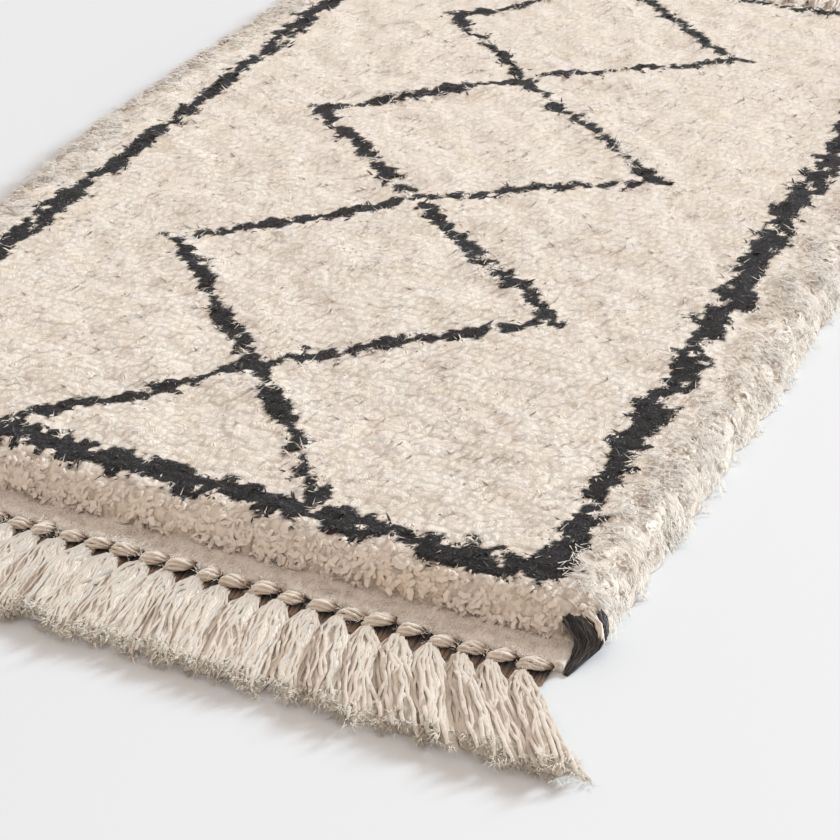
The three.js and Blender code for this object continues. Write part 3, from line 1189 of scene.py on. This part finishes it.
# =====================================================================================================
# Ribbed sides
# =====================================================================================================
LOCK_WIDTH = 5.4 * MM
LOCK_STRETCH = 0.42  # a lock's width over its length
LUMP = 2.0 * MM  # how far the wool stands out unevenly
RIB_PITCH = 26 * MM  # the wool gathers in ribs
RIB = 3.6 * MM  # how far a rib stands out
LIE_BACK = 8 * MM  # how far the ribs lie back along the rug for each radian round the side
ROLL_STEP = 1.7 * MM
ROLL_ROWS = 29
ROLL_START, ROLL_END = -0.7, 1.54  # radians round the side, from on the pile's top to the floor
SIDE_FIBRES = 540  # brushes on one side
EDGE_TUCK = 2 * MM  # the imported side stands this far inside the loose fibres


def rib_middles():
    """Where the ribs are along the rug."""
    rng = np.random.default_rng(61)
    count = int(2 * PILE_END / RIB_PITCH)
    places = -PILE_END + (np.arange(count) + 0.5) * 2 * PILE_END / count
    return places + rng.normal(0, 3.5 * MM, count)


RIBS = rib_middles()


def on_rib(turn, y):
    """1 on the middle of a rib and 0 between two. The ribs lie back towards the near end."""
    swept = y + LIE_BACK * np.maximum(turn, 0.0)
    beside = np.abs(swept[..., None] - RIBS).min(-1) / (RIB_PITCH / 2)
    return 1 - np.minimum(beside, 1.0) ** 2


def side_places(turn, y, side, lift):
    """Places on a rounded side of the pile, lifted off it. turn is 0 where the top starts to fall
    and a quarter circle at the floor. The side bulges in ribs."""
    edge = np.interp(y, EDGE_Y, EDGE_RIGHT if side > 0 else -EDGE_LEFT) - EDGE_TUCK
    round_turn = np.maximum(turn, 0.0)
    lift = lift + RIB * (on_rib(turn, y) - 0.45) * smooth(np.clip(turn / 1.2, 0, 1))
    to_end = np.clip((np.abs(y) - PILE_END + 30 * MM) / (30 * MM), 0, 0.999)
    rise = 1.5 * MM + (CORE_TOP - 1 * MM) * np.sqrt(1 - to_end**2)
    out = np.sin(round_turn)
    x = edge - EDGE_ROUNDING * (1 - out) + lift * out + EDGE_ROUNDING * np.minimum(turn, 0.0)
    z = (rise + lift) * np.cos(round_turn)
    return np.stack([side * x, y, np.maximum(z, 0.0)], -1)


def side_lumps(turn, y, side):
    """The uneven lie of one side's wool, from -1 to 1."""
    return value_noise(y + LIE_BACK * turn, turn * EDGE_ROUNDING, 13 * MM, 69 + side)


def make_roll(name, side):
    """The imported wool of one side: a closed roll of soft locks that lie outwards and down."""
    y = np.linspace(-SIDE_END - 6 * MM, SIDE_END + 6 * MM, int(2 * SIDE_END / ROLL_STEP))
    y, turn = np.meshgrid(y, np.linspace(ROLL_START, ROLL_END, ROLL_ROWS), indexing="ij")
    arc = turn * EDGE_ROUNDING
    swirl = value_noise(y, arc, 22 * MM, 63)
    across = y + (8 + 7 * swirl) * MM * turn + 1.5 * MM * value_noise(y, arc, 6 * MM, 62)
    pull, off, chance = clump_pull(across, arc * LOCK_STRETCH, LOCK_WIDTH, 64 + side)
    dome = np.clip(1.0 - 1.6 * off**2, 0, 1)
    lumps = side_lumps(turn, y, side)
    lift = 1.6 * MM * dome + 0.6 * MM * chance + LUMP * lumps - 1.0 * MM
    lift = lift * np.clip((ROLL_END - turn) / 0.3, 0, 1) + 4 * MM * np.minimum(turn, 0.0)
    outer = side_places(turn, y, side, lift)
    inner = side_places(turn[:, [0]], y[:, [0]], side, 0 * y[:, [0]])
    under = [outer[:, [-1]] * (1, 1, 0) - (side * 6 * MM, 0, 0), inner * (1, 1, 0)]
    ring = np.concatenate([outer] + under, 1)
    faces = ring_faces(*ring.shape[:2])
    if side > 0:
        faces = [face[::-1] for face in faces]
    from_x, from_y = -pull[..., 0] * LOCK_WIDTH / MM, -pull[..., 1] * LOCK_WIDTH / LOCK_STRETCH / MM
    # painted shade: the hollows between ribs, the edges of locks and the low lumps colour darker through
    # dome
    rib_valley_shade = 0.35 * (1 - on_rib(turn, y)) ** 2 * smooth(np.clip(turn / 1.2, 0, 1))
    values = {
        "tone": on_rings(0.5 + 0.5 * chance),
        "dome": on_rings(np.clip(0.4 + 0.65 * dome + 0.2 * lumps - rib_valley_shade, 0, 1)),
        "dark": on_rings(0 * y),
        "depth": on_rings(0.42 * calm(y) ** 0.6),
        "lay": lay_on_rings(*turned_by(from_x, from_y, -0.4 * chance), chance * 40.0),
    }
    piece = solid(name, ring.reshape(-1, 3), faces, CORE_WOOL, values)
    map_from_above(piece.data)
    soften(piece, side_normals, 0.74)
    return piece


def make_side_fibres(name, side, kinds):
    """Loose fibres over one side, combed outwards and down."""
    rng = np.random.default_rng(62 + side)
    count = SIDE_FIBRES
    turn, y = rng.uniform(-0.6, 1.4, count), rng.uniform(-SIDE_END, SIDE_END, count)
    round_turn = np.maximum(turn, 0.0)
    up = np.stack([side * np.sin(round_turn), rng.normal(0, 0.2, count), np.cos(round_turn)], -1)
    sweep = 0.7 * value_noise(y, turn * EDGE_ROUNDING, 22 * MM, 63) - 0.35 + rng.normal(0, 0.25, count)
    ahead = np.stack([side * np.cos(round_turn), sweep, -np.sin(round_turn)], -1)
    lift = LUMP * side_lumps(turn, y, side) - rng.uniform(2.0, 3.8, count) * MM
    points = points_mesh(
        name,
        side_places(turn, y, side, lift),
        turn=euler_of(up, ahead),
        grow=rng.normal(1.0, 0.1, (count, 3)),
        kind=rng.integers(0, BRUSH_KINDS, count),
        tone=np.clip(rng.normal(0.65, 0.3, count), 0, 1),
    )
    piece = made_by(PLANT, name, points, Kinds=kinds, Spin=0.4, Seed=5, Finish=CREAM_WOOL)
    above_floor(piece)
    soften(piece, side_normals, 0.85)
    map_from_above(piece.data)
    return piece


# =====================================================================================================
# Ground cloth and end bands
# =====================================================================================================
BAND_FIBRES = 700  # brushes on one band


def band_rise(y):
    """How far the cloth has come up out of the pile's foot, from 0 under it to 1 on the band."""
    return np.clip((np.abs(y) - PILE_END) / BAND_WIDTH + 0.3, 0, 1)


def make_ground():
    """The ground cloth. It runs under the whole pile and comes out at both ends as the bands."""
    half_width = np.interp(GROUND_MEASURED_AT, EDGE_Y, EDGE_RIGHT) - GROUND_INSET
    across = np.linspace(-half_width, half_width, 221)
    end = np.linspace(PILE_END - 8 * MM, BAND_END, 13)
    y = np.concatenate([-end[::-1], np.linspace(-end[0], end[0], 9)[1:-1], end])
    x, y = np.meshgrid(across, y)
    wavy = 0.5 * value_noise(x, y, 17 * MM, 71) + 0.6 * value_noise(x, y * 0.4, 6 * MM, 72)
    top = GROUND_THICKNESS + (1.5 + wavy) * MM * band_rise(y)
    dark = np.clip(0.5 + darkness(x, y) / 8, 0, 1)
    piece = closed_slab("ground_cloth", x, y, top, 0.0, GROUND_CLOTH, dark=dark)
    return piece, 2 * half_width


def make_band_fuzz(name, end, kinds):
    """Fibres that have worked loose from the cloth between the pile and the warp knots."""
    rng = np.random.default_rng(73 + end)
    count = BAND_FIBRES
    x = rng.uniform(-COMB_HALF_WIDTH, COMB_HALF_WIDTH, count)
    y = end * (PILE_END + rng.uniform(-2 * MM, BAND_WIDTH - 1 * MM, count))
    height = GROUND_THICKNESS + 0.9 * MM * band_rise(y)
    turn = np.stack([0 * x, 0 * x, rng.normal(-math.pi / 2, 0.5, count)], -1)
    points = points_mesh(
        name,
        np.stack([x, y, height], -1),
        turn=turn,
        grow=np.full((count, 3), 1.0),
        kind=rng.integers(0, BRUSH_KINDS, count),
        tone=rng.uniform(0, 1, count),
    )
    return made_by(PLANT, name, points, Kinds=kinds, Spin=0.6, Seed=1, Finish=BAND_FUZZ)


# =====================================================================================================
# Knots and fringe
# =====================================================================================================
KNOT_OUT = 6 * MM  # the knots' middle, out from the band's end
KNOT_STRANDS = 7
KNOT_PATH = ((8.2, 7.5, 2.4), (5.6, 3.6, 4.4), (2.2, 1.2, 5.8), (-1.6, -0.2, 5.6), (-4.6, -1.2, 4.2),
             (-5.6, -2.0, 2.4), (-3.6, -3.4, 1.6))  # millimetres, from a knot's middle on the floor
YARNS = 15  # on the top of one tassel
YARN_RADIUS = 1.15 * MM
YARN_STEPS = 16
KNOT_STEPS = 10
KNOT_SPREAD = (0.8, 1.5, 2.2, 2.7, 2.8, 2.7, 2.5, 2.1, 1.5, 1.0)  # millimetres, along a knot
KNOT_SWELL = (0.6, 0.8, 1, 1.1, 1.15, 1.1, 1, 1, 0.9, 0.7)
# along on a knot's strands: painted near-black shadow at its right end, where it goes under the band, then
# painted shade
KNOT_SHADE = (-0.3, 0.0, 0.5, 0.62, 0.62, 0.6, 0.5)
TASSEL_ROOT = KNOT_OUT + 4.5 * MM  # where a tassel starts, out from the band's end
WARPS_UNDER = 7  # the warps that show under one knot


def corner_sweep(x):
    """How far sideways a tassel's tip falls, for its place along the edge."""
    t = np.clip((x - 60 * MM) / (COMB_HALF_WIDTH - 60 * MM), 0, 1)
    return 44 * MM * smooth(t)


def curve_through(stations, count):
    """Evenly spaced points on a soft curve through a few stations."""
    stations = np.array(stations)
    t = np.linspace(0, len(stations) - 1, count)
    i = np.clip(t.astype(int), 0, len(stations) - 2)
    u = (t - i)[:, None]
    before, after = stations[np.maximum(i - 1, 0)], stations[np.minimum(i + 2, len(stations) - 1)]
    a, b = stations[i], stations[i + 1]
    bow = (2 * before - 5 * a + 4 * b - after) * u**2 + (3 * a - before - 3 * b + after) * u**3
    return a + 0.5 * ((b - before) * u + bow)


def add_knot(threads, fuzz, x, rng):
    """A bundle of warps turned once round itself: a rope that comes out of the band on the right,
    thickens to the left and tucks under, where the tassel starts."""
    middle = curve_through(KNOT_PATH, KNOT_STEPS) * MM * rng.uniform(0.86, 1.12)
    turned = turned_by(middle[:, 0], middle[:, 1], rng.normal(0.08, 0.16))
    middle = np.stack([*turned, middle[:, 2]], -1) + (x, -BAND_END - KNOT_OUT, 0)
    middle = middle + rng.normal(0, 0.4 * MM, 3)
    ways = unit(np.gradient(middle, axis=0))
    side = unit(np.cross(ways, (0.0, 1.0, 0.2)))
    over = np.cross(ways, side)
    spread = np.array(KNOT_SPREAD)[:, None] * MM
    start = rng.uniform(0, 2 * math.pi)
    for s in range(KNOT_STRANDS):
        a = start + s * 2 * math.pi / KNOT_STRANDS + np.linspace(0, 2.2, KNOT_STEPS)[:, None]
        a = a + rng.normal(0, 0.12, (KNOT_STEPS, 1))
        reach = spread * rng.uniform(0.85, 1.15, (KNOT_STEPS, 1))
        points = middle + reach * (np.cos(a) * side + np.sin(a) * over)
        radius = rng.uniform(0.95, 1.35) * MM * np.array(KNOT_SWELL)
        threads.add(points, radius, rng.uniform(0.1, 0.8), KNOT_SHADE)
        for k in rng.integers(1, KNOT_STEPS - 1, 3):
            if points[k][2] > middle[k][2]:
                fuzz.append((points[k], points[k] - middle[k] - 2 * MM * ways[k]))


class Tassel:
    """The shape of one tassel: a low dome that fans out from under its knot towards the tips.
    t runs from its root to its tips, and u from -1 to 1 across it."""

    def __init__(self, x, height, rng):
        self.root_x, self.root_y = x - 3.5 * MM, -BAND_END - TASSEL_ROOT
        self.reach = (FRINGE_TIP - BAND_END - TASSEL_ROOT) * rng.uniform(0.9, 0.98)
        self.sweep = corner_sweep(x) + rng.normal(4.0, 2.5) * MM
        self.crown = rng.uniform(4.5, 7.0) * MM * height
        self.rest = rng.uniform(6.0, 9.0) * MM * height
        self.phase = rng.uniform(0, ANY_TURN)
        self.number = rng.uniform(0, 1)

    def places(self, t, u, lift):
        half_width = 4.0 * MM + 6.8 * MM * smooth(np.minimum(1.0, t / 0.32)) + 2.0 * MM * t
        sway = 1.5 * MM * np.sin(self.phase + 5 * t) * t
        arch = self.crown * np.sin(math.pi * np.minimum(1.0, t / 0.85) ** 0.5) ** 0.9
        top = 3.0 * MM * (1 - t) + arch * (1 - 0.4 * t) + self.rest * smooth(np.minimum(1.0, t / 0.6))
        round_over = np.sqrt(np.clip(1.0 - 0.85 * u**2, 0, 1))
        x = self.root_x + u * half_width + self.sweep * t**1.3 + sway
        ragged = 3.5 * MM * np.sin(2.2 * u + self.phase) * t**3
        y = self.root_y - self.reach * t * (1 - 0.05 * u**2) - ragged
        ended = np.sqrt(np.clip(1.0 - (np.maximum(0.0, t - 0.84) / 0.24) ** 2, 0, 1))
        return np.stack([x, y, np.maximum((top * round_over + lift) * ended, 0.4 * MM)], -1)


def make_tassel_cores(name, tassels):
    """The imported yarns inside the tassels: closed bodies with the ridges of the yarns."""
    steps = np.concatenate([np.linspace(0, 0.78, 12), np.linspace(0.82, 0.98, 9)])
    t, u = np.meshgrid(steps, np.linspace(-1, 1, 17), indexing="ij")
    points, faces, values = [], [], {"along": [], "frayed": [], "lay": []}
    for tassel in tassels:
        across = u * 11 * MM
        run = t * tassel.reach
        own = across + tassel.number
        strand = value_noise(own, run * 0.22, 2.1 * MM, 83) * np.minimum(1.0, t / 0.1)
        frayed = np.clip((t - 0.74) / 0.16, 0, 1)
        puffs = value_noise(own, run, 3.4 * MM, 84) * frayed
        ragged = t * (0.965 + 0.035 * value_noise(own, 0 * t, 3.2 * MM, 85))
        outer = tassel.places(ragged, u, 0.8 * MM * strand + 1.5 * MM * puffs - 0.2 * MM)
        outer[..., 2] *= np.sqrt(np.clip(1.0 - (np.maximum(0, t - 0.86) / 0.12) ** 2, 0.001, 1))
        under = outer[:, [-1, 0]] * (1, 1, 0) + (0, 0, 0.1 * MM)
        ring = np.concatenate([outer, under], 1)
        rows, columns = ring.shape[:2]
        faces += ring_faces(rows, columns, len(points) * rows * columns)
        points.append(ring.reshape(-1, 3))
        # painted shade: along is lower at the root and in the furrows between yarns, so these colour darker
        values["along"].append(on_rings(np.clip(0.5 + 0.7 * t + 0.25 * strand + 0.2 * puffs, 0, 1)))
        values["frayed"].append(on_rings(frayed))
        values["lay"].append(lay_on_rings(across / MM, run / MM, 40 * tassel.number + 0 * t))
    values = {key: np.concatenate(parts) for key, parts in values.items()}
    return solid(name, np.concatenate(points), faces, PACKED_YARN, values)


def add_yarns(threads, ends, tassel, rng):
    """The yarns on the top of one tassel, each with its own waves, frayed at their tips."""
    t = np.linspace(0, 1, YARN_STEPS)
    for i in range(YARNS):
        u = 2 * (i + rng.uniform(-0.5, 0.5)) / (YARNS - 1) - 1
        phase, wave = rng.uniform(0, ANY_TURN, 4), rng.uniform(0.06, 0.2)
        held = np.minimum(1.0, t / 0.25)
        wag = wave * (np.sin(phase[0] + 8 * t) + 0.4 * np.sin(phase[1] + 23 * t)) * held
        nod = 0.7 * MM * (np.sin(phase[2] + 10 * t) + 0.6 * np.sin(phase[3] + 25 * t)) * held
        lift = rng.uniform(-0.3, 1.0) * MM + (rng.uniform() < 0.15) * rng.uniform(1, 3) * MM * t
        points = tassel.places(t * rng.uniform(0.88, 1.02), np.clip(u + wag, -1.15, 1.15), lift + nod)
        points[1:] += rng.normal(0, 0.35 * MM, (YARN_STEPS - 1, 3))
        thick = YARN_RADIUS * rng.uniform(0.75, 1.2)
        points[:, 2] = np.maximum(points[:, 2], 0.8 * thick)
        tone = rng.uniform(0, 1)
        swell = np.interp(t, [0, 0.15, 0.7, 0.92, 1.0], [0.8, 1, 1, 1.25, 0.8])
        threads.add(points, thick * swell, tone, (0.3, 1.0))
        ends.append((points[-2], points[-1], tone))
        if i % 3 != 1:
            near, lower = rng.uniform(0.84, 0.93), rng.uniform(-3.0, 0.0) * MM
            tip = tassel.places(np.array([near, near + 0.08]), np.full(2, u), lower)
            ends.append((tip[0], tip[1], tone))


def turned_round(mesh):
    """Turns a mesh half round the rug's middle."""
    mesh.transform(Matrix.Rotation(math.pi, 4, "Z"))


def add_roots(threads, x, rng):
    """The warps underneath, in the shade between the band and the tassel, coloured as painted shadow:
    near-black under the band, brown further out.
    """
    for i in range(WARPS_UNDER):
        start = np.array([x + (i * 2.7 - 8) * MM, -BAND_END + 3 * MM, 1.8 * MM])
        end = start + (rng.normal(0, 1.0) * MM, -KNOT_OUT - 13 * MM, -0.6 * MM)
        # painted shadow: along below 0 colours these near-black
        threads.add(np.linspace(start, end, 4), 1.6 * MM, 0.2, (-0.3, -0.3, -0.2, 0.1))


def brush_points(name, places, ways, tones, sizes, rng):
    """Points that carry a brush of fibres each, standing along their ways."""
    across = np.cross(ways, rng.normal(0, 1, ways.shape))
    return points_mesh(
        name,
        places,
        turn=euler_of(ways, across),
        grow=np.ones(ways.shape) * sizes[:, None],
        kind=rng.integers(0, BRUSH_KINDS, len(places)),
        tone=tones,
    )


def fluff_points(name, ends, rng):
    """Where the brushes go: at each yarn's end and a little before it, along the yarn."""
    before, tip = (np.array([e[i] for e in ends]) for i in (0, 1))
    way = unit(tip - before) + rng.normal(0, 0.4, tip.shape)
    places = tip - way * rng.uniform(1, 4.5, (len(ends), 1)) * MM
    tones = np.array([e[2] for e in ends])
    return brush_points(name, places, way, tones, rng.uniform(0.75, 1.1, len(ends)), rng)


def knot_fuzz_points(name, fuzz, rng):
    """Where fine fibres stand off the knots."""
    places, ways = (np.array([f[i] for f in fuzz]) for i in (0, 1))
    ways = ways + rng.normal(0, 0.8 * MM, ways.shape)
    count = len(fuzz)
    return brush_points(name, places, ways, rng.uniform(0.2, 1, count), rng.uniform(0.35, 0.7, count), rng)


def facing(*way):
    """Normals that all face one way."""
    return lambda x, *_: np.broadcast_to(way, (len(x), 3))


FRINGE_NORMALS = facing(0.0, -0.1, 1.0)
FLUFF_NORMALS = facing(0.05, 0.0, 1.0)


def make_fringe(name, seed, far):
    """Knots, yarns and frayed ends along one short edge."""
    rng = np.random.default_rng(seed)
    knots, yarns, ends, tassels, fuzz = Threads(), Threads(), [], [], []
    pitch = 2 * COMB_HALF_WIDTH / TASSELS
    for i in range(TASSELS):
        x = -COMB_HALF_WIDTH + (i + 0.5) * pitch + rng.normal(0, 0.7 * MM)
        add_knot(knots, fuzz, x, rng)
        add_roots(knots, x, rng)
        tassels.append(Tassel(x, 0.75 if far else 1.0, rng))
        add_yarns(yarns, ends, tassels[-1], rng)
    fluff = fluff_points(f"{name}_fluff", ends, rng)
    fibres = knot_fuzz_points(f"{name}_fibres", fuzz, rng)
    planted = {"Spin": 3.1, "Seed": seed, "Finish": FRAYED_YARN}
    made = [
        (knots.spun(f"{name}_knots", 4, FRINGE_YARN), FRINGE_NORMALS, 0.3),
        (yarns.spun(f"{name}_yarns", 3, FRINGE_YARN), FRINGE_NORMALS, 0.72),
        (make_tassel_cores(f"{name}_packed_yarns", tassels), FRINGE_NORMALS, 0.6),
        (made_by(PLANT, f"{name}_frayed_ends", fluff, Kinds=FLUFF, **planted), FLUFF_NORMALS, 0.85),
        (made_by(PLANT, f"{name}_knot_fibres", fibres, Kinds=FIBRES, **planted), FRINGE_NORMALS, 0.5),
    ]
    for piece, towards, share in made:
        above_floor(piece)
        soften(piece, towards, share)
        if far:
            turned_round(piece.data)
    return [piece for piece, _, _ in made]


# =====================================================================================================
# Corner wraps
# =====================================================================================================
# Each lock of wool fans between two paths: out from the corner, along the rug and up, in millimetres.
WRAP_LOCK = (
    ((-21.8, 13.7, 16), (-14.9, 21.1, 14.5), (-9.4, 25.8, 10), (-9.6, 30.4, 6), (-9.6, 37, 3), (-10, 43, 1)),
    ((-10.3, 10.4, 16), (-1.1, 16.1, 14), (2.3, 20.0, 9), (-1.0, 24.6, 5), (-5.1, 34, 2), (-7.5, 43, 1)),
)
SIDE_LOCK = (
    ((-8.9, 7.8, 16), (-3.8, 10.5, 14), (-0.9, 13.2, 10), (0.7, 12.8, 5)),
    ((-5.3, -1.2, 15), (-0.9, 2.3, 12), (1.2, 7.5, 8), (0.8, 10.7, 4)),
)
CREAM_LOCK = (
    ((-13.3, 7.3, 17), (-5.5, 13.9, 16.5), (-0.5, 17.8, 14), (2.1, 19.2, 7)),
    ((-10.4, 4.0, 17), (-4.5, 8.8, 16), (0.4, 14.0, 13), (3.0, 16.9, 7)),
)


LOCK_STEPS = 9
WRAP_STEPS = 10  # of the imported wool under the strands
BLACK_STRAND = (0.35, 0.85)  # radii, in millimetres
CREAM_STRAND = (0.6, 1.1)


def add_lock(threads, lock, corner, ways, strands, fatness, rng):
    """Strands side by side between the lock's two paths, bowed up between them."""
    left, right = (curve_through(path, LOCK_STEPS) for path in lock)
    t = np.linspace(0, 1, LOCK_STEPS)[:, None]
    for i in range(strands):
        u = (i + rng.uniform(0, 1)) / strands
        u = np.clip(u + rng.normal(0, 0.08) + 0.12 * np.sin(rng.uniform(0, ANY_TURN) + 7 * t), -0.05, 1.05)
        bow = np.sin(math.pi * np.clip(u, 0, 1))
        bow = bow * np.sin(math.pi * np.minimum(1.0, 0.15 + 0.85 * t)) ** 0.7
        places = left + (right - left) * u + bow * (1.6, 0.6, 2.2) - (0, 0, rng.uniform(-0.3, 1.6))
        places = places + rng.normal(0, 0.25, places.shape)
        radius = rng.uniform(*fatness) * MM * np.interp(t[:, 0], [0, 0.15, 0.8, 1], [0.6, 1, 0.9, 0.4])
        tone = rng.uniform(0.0, 1.0) ** 1.5
        threads.add(corner + places * MM * ways, radius, tone, (0.8, 0.95))


def make_wrap(node):
    """The black wool bound over one corner of the pile, down to the floor, and a cream lock across
    it. Gives the black piece and the cream one."""
    low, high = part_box(node)
    side = 1 if low.x > 0 else -1
    end = 1 if low.y > 0 else -1
    corner = np.array([side * max(abs(low.x), abs(high.x)), end * min(abs(low.y), abs(high.y)), 0.0])
    ways = (side, end, 1)
    rng = np.random.default_rng(sum(map(ord, node)))
    black, cream = Threads(), Threads()
    middle = curve_through((np.array(WRAP_LOCK[0]) + WRAP_LOCK[1]) / 2, WRAP_STEPS)
    middle = middle - (1.5, 0, 1) * np.linspace(2.5, 0, WRAP_STEPS)[:, None]
    thick = np.interp(np.linspace(0, 1, WRAP_STEPS), [0, 0.3, 0.6, 1], [4.5, 5.0, 3.6, 0.8]) * MM
    # the core under the strands takes painted shade, darker than them
    black.add(corner + middle * MM * ways, thick, 0.0, (0.3, 0.3))
    add_lock(black, WRAP_LOCK, corner, ways, 64, BLACK_STRAND, rng)
    add_lock(black, SIDE_LOCK, corner, ways, 24, BLACK_STRAND, rng)
    add_lock(cream, CREAM_LOCK, corner, ways, 12, CREAM_STRAND, rng)
    made = [black.spun(node + "_lock", 4, WRAP_YARN), cream.spun(node + "_cream_lock", 4, CREAM_WOOL)]
    for piece in made:
        above_floor(piece)
    return made


# =====================================================================================================
# Camera, light and floor
# =====================================================================================================
CAMERA_PLACE = (0.5877, -1.3609, 0.7356)
CAMERA_TURN = math.radians(24.305)
CAMERA_TILT = math.radians(90 - 31.923)
CAMERA_ROLL = math.radians(0.115)
SENSOR = 36.0  # millimetres
LENS = 93.49  # millimetres


def make_camera():
    camera = new_object("camera", bpy.data.cameras.new("camera"))
    camera.data.lens = LENS
    camera.data.sensor_width = SENSOR
    camera.data.clip_end = 50.0
    turned = Matrix.Rotation(CAMERA_TURN, 4, "Z") @ Matrix.Rotation(CAMERA_TILT, 4, "X")
    camera.matrix_world = Matrix.Translation(CAMERA_PLACE) @ turned @ Matrix.Rotation(CAMERA_ROLL, 4, "Z")
    bpy.context.scene.camera = camera


SUN_FROM = 58  # degrees round from +X
SUN_HEIGHT = 21  # degrees above the floor
SUN_STRENGTH = 4.25
SUN_COLOUR = (0.765, 0.90, 1.0)
SUN_WIDTH = 11  # degrees
SKY_STRENGTH = 0.68
SKY_COLOUR = (1.0, 0.90, 0.83)
BACKDROP_COLOUR = (0.93, 0.94, 0.95)  # the sky as the camera sees it, past the floor
FLOOR_REACH = 12.0
FLOOR_COLOUR = (0.858, 0.858, 0.858)
FLOOR_AWAY = (0.80, 0.80, 0.803)  # where the studio light falls off, to the left


def make_light():
    lamp = bpy.data.lights.new("studio key", "SUN")
    lamp.energy = SUN_STRENGTH
    lamp.angle = math.radians(SUN_WIDTH)
    lamp.color = SUN_COLOUR
    key = new_object("studio key", lamp)
    key.rotation_euler = (math.radians(90 - SUN_HEIGHT), 0, math.radians(SUN_FROM + 90))
    world = bpy.data.worlds.new("studio")
    world.use_nodes = True
    graph = Graph(world.node_tree)
    world.node_tree.nodes.clear()
    to_camera = graph.add("ShaderNodeLightPath", {}, output=0)
    seen = graph.add("ShaderNodeBackground", {}, {"Color": (*BACKDROP_COLOUR, 1), "Strength": 1.0})
    lit = graph.add("ShaderNodeBackground", {}, {"Color": (*SKY_COLOUR, 1), "Strength": SKY_STRENGTH})
    mixed = graph.add("ShaderNodeMixShader", {}, {0: to_camera, 1: lit, 2: seen})
    graph.add("ShaderNodeOutputWorld", {}, {"Surface": mixed})
    bpy.context.scene.world = world


def floor_finish(graph):
    parts = [graph.add("ShaderNodeSeparateXYZ", {}, {0: object_place(graph)}, output=i) for i in (0, 1)]
    fade = ((parts[0] * 0.91 + parts[1] * 0.41 + 0.25) / 0.6).clamped()
    colour = graph.mixed(fade, FLOOR_AWAY, FLOOR_COLOUR)
    return {"Base Color": colour, "Roughness": 0.8, "Specular IOR Level": 0.1}


def make_floor():
    mesh = bpy.data.meshes.new("floor")
    corners = [(x * FLOOR_REACH, y * FLOOR_REACH, 0) for x, y in ((-1, -1), (1, -1), (1, 1), (-1, 1))]
    mesh.from_pydata(corners, [], [(0, 1, 2, 3)])
    mesh.materials.append(material_of("pale floor", floor_finish))
    new_object("floor", mesh)


# =====================================================================================================
# The rug
# =====================================================================================================
def declare(pieces, slot, *nodes):
    """Says what the pieces move with and which solids they stand for. slot is not used."""
    for piece in pieces:
        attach(piece, "root")
        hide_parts(*nodes)


make_camera()
make_light()
make_floor()

ground, ground_width = make_ground()
core = make_core()
black_pile, *cream_pile = make_pile()
locks = [make_roll(f"side_roll_{way}", side) for way, side in SIDES.items()]
strays = brushes(
    "stray fibres", 27, count=14, spread=4.5, length=(11, 17), radius=(0.25, 0.42), bend=(1.1, 1.6), veer=0.5
)
locks += [make_side_fibres(f"side_fibres_{way}", side, strays) for way, side in SIDES.items()]
fuzz = brushes("fuzz", 23, count=4, spread=2.5, length=(4, 7), radius=(0.2, 0.4), bend=(1.1, 1.5), veer=0.5)
bands = [make_band_fuzz("band_fuzz_near", -1, fuzz), make_band_fuzz("band_fuzz_far", 1, fuzz)]
FLUFF = brushes("fluff", 25, count=16, spread=2.1, length=(6, 11), radius=0.26, bend=(0.1, 0.9))
FIBRES = brushes("fibres", 26, count=7, spread=2.0, length=(8, 13), radius=0.3, bend=(0.2, 1.4))
fringe_near = make_fringe("fringe_near", 81, far=False)
fringe_far = make_fringe("fringe_far", 82, far=True)
wraps = {node: make_wrap(node) for node in sorted(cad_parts) if node.startswith("corner_wrap")}

declare([ground, *bands], "warp_yarn", "rug_body")
declare([core, *cream_pile, *locks], "cream_wool", "rug_body")
declare([black_pile], "black_wool", "rug_body")
declare(fringe_near, "warp_yarn", "fringe_near")
declare(fringe_far, "warp_yarn", "fringe_far")
for node, (black_lock, cream_lock) in wraps.items():
    declare([black_lock], "black_wool", node)
    declare([cream_lock], "cream_wool", node)

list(sum(wraps.values(), []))

scene = bpy.context.scene
scene.view_settings.view_transform = "Standard"
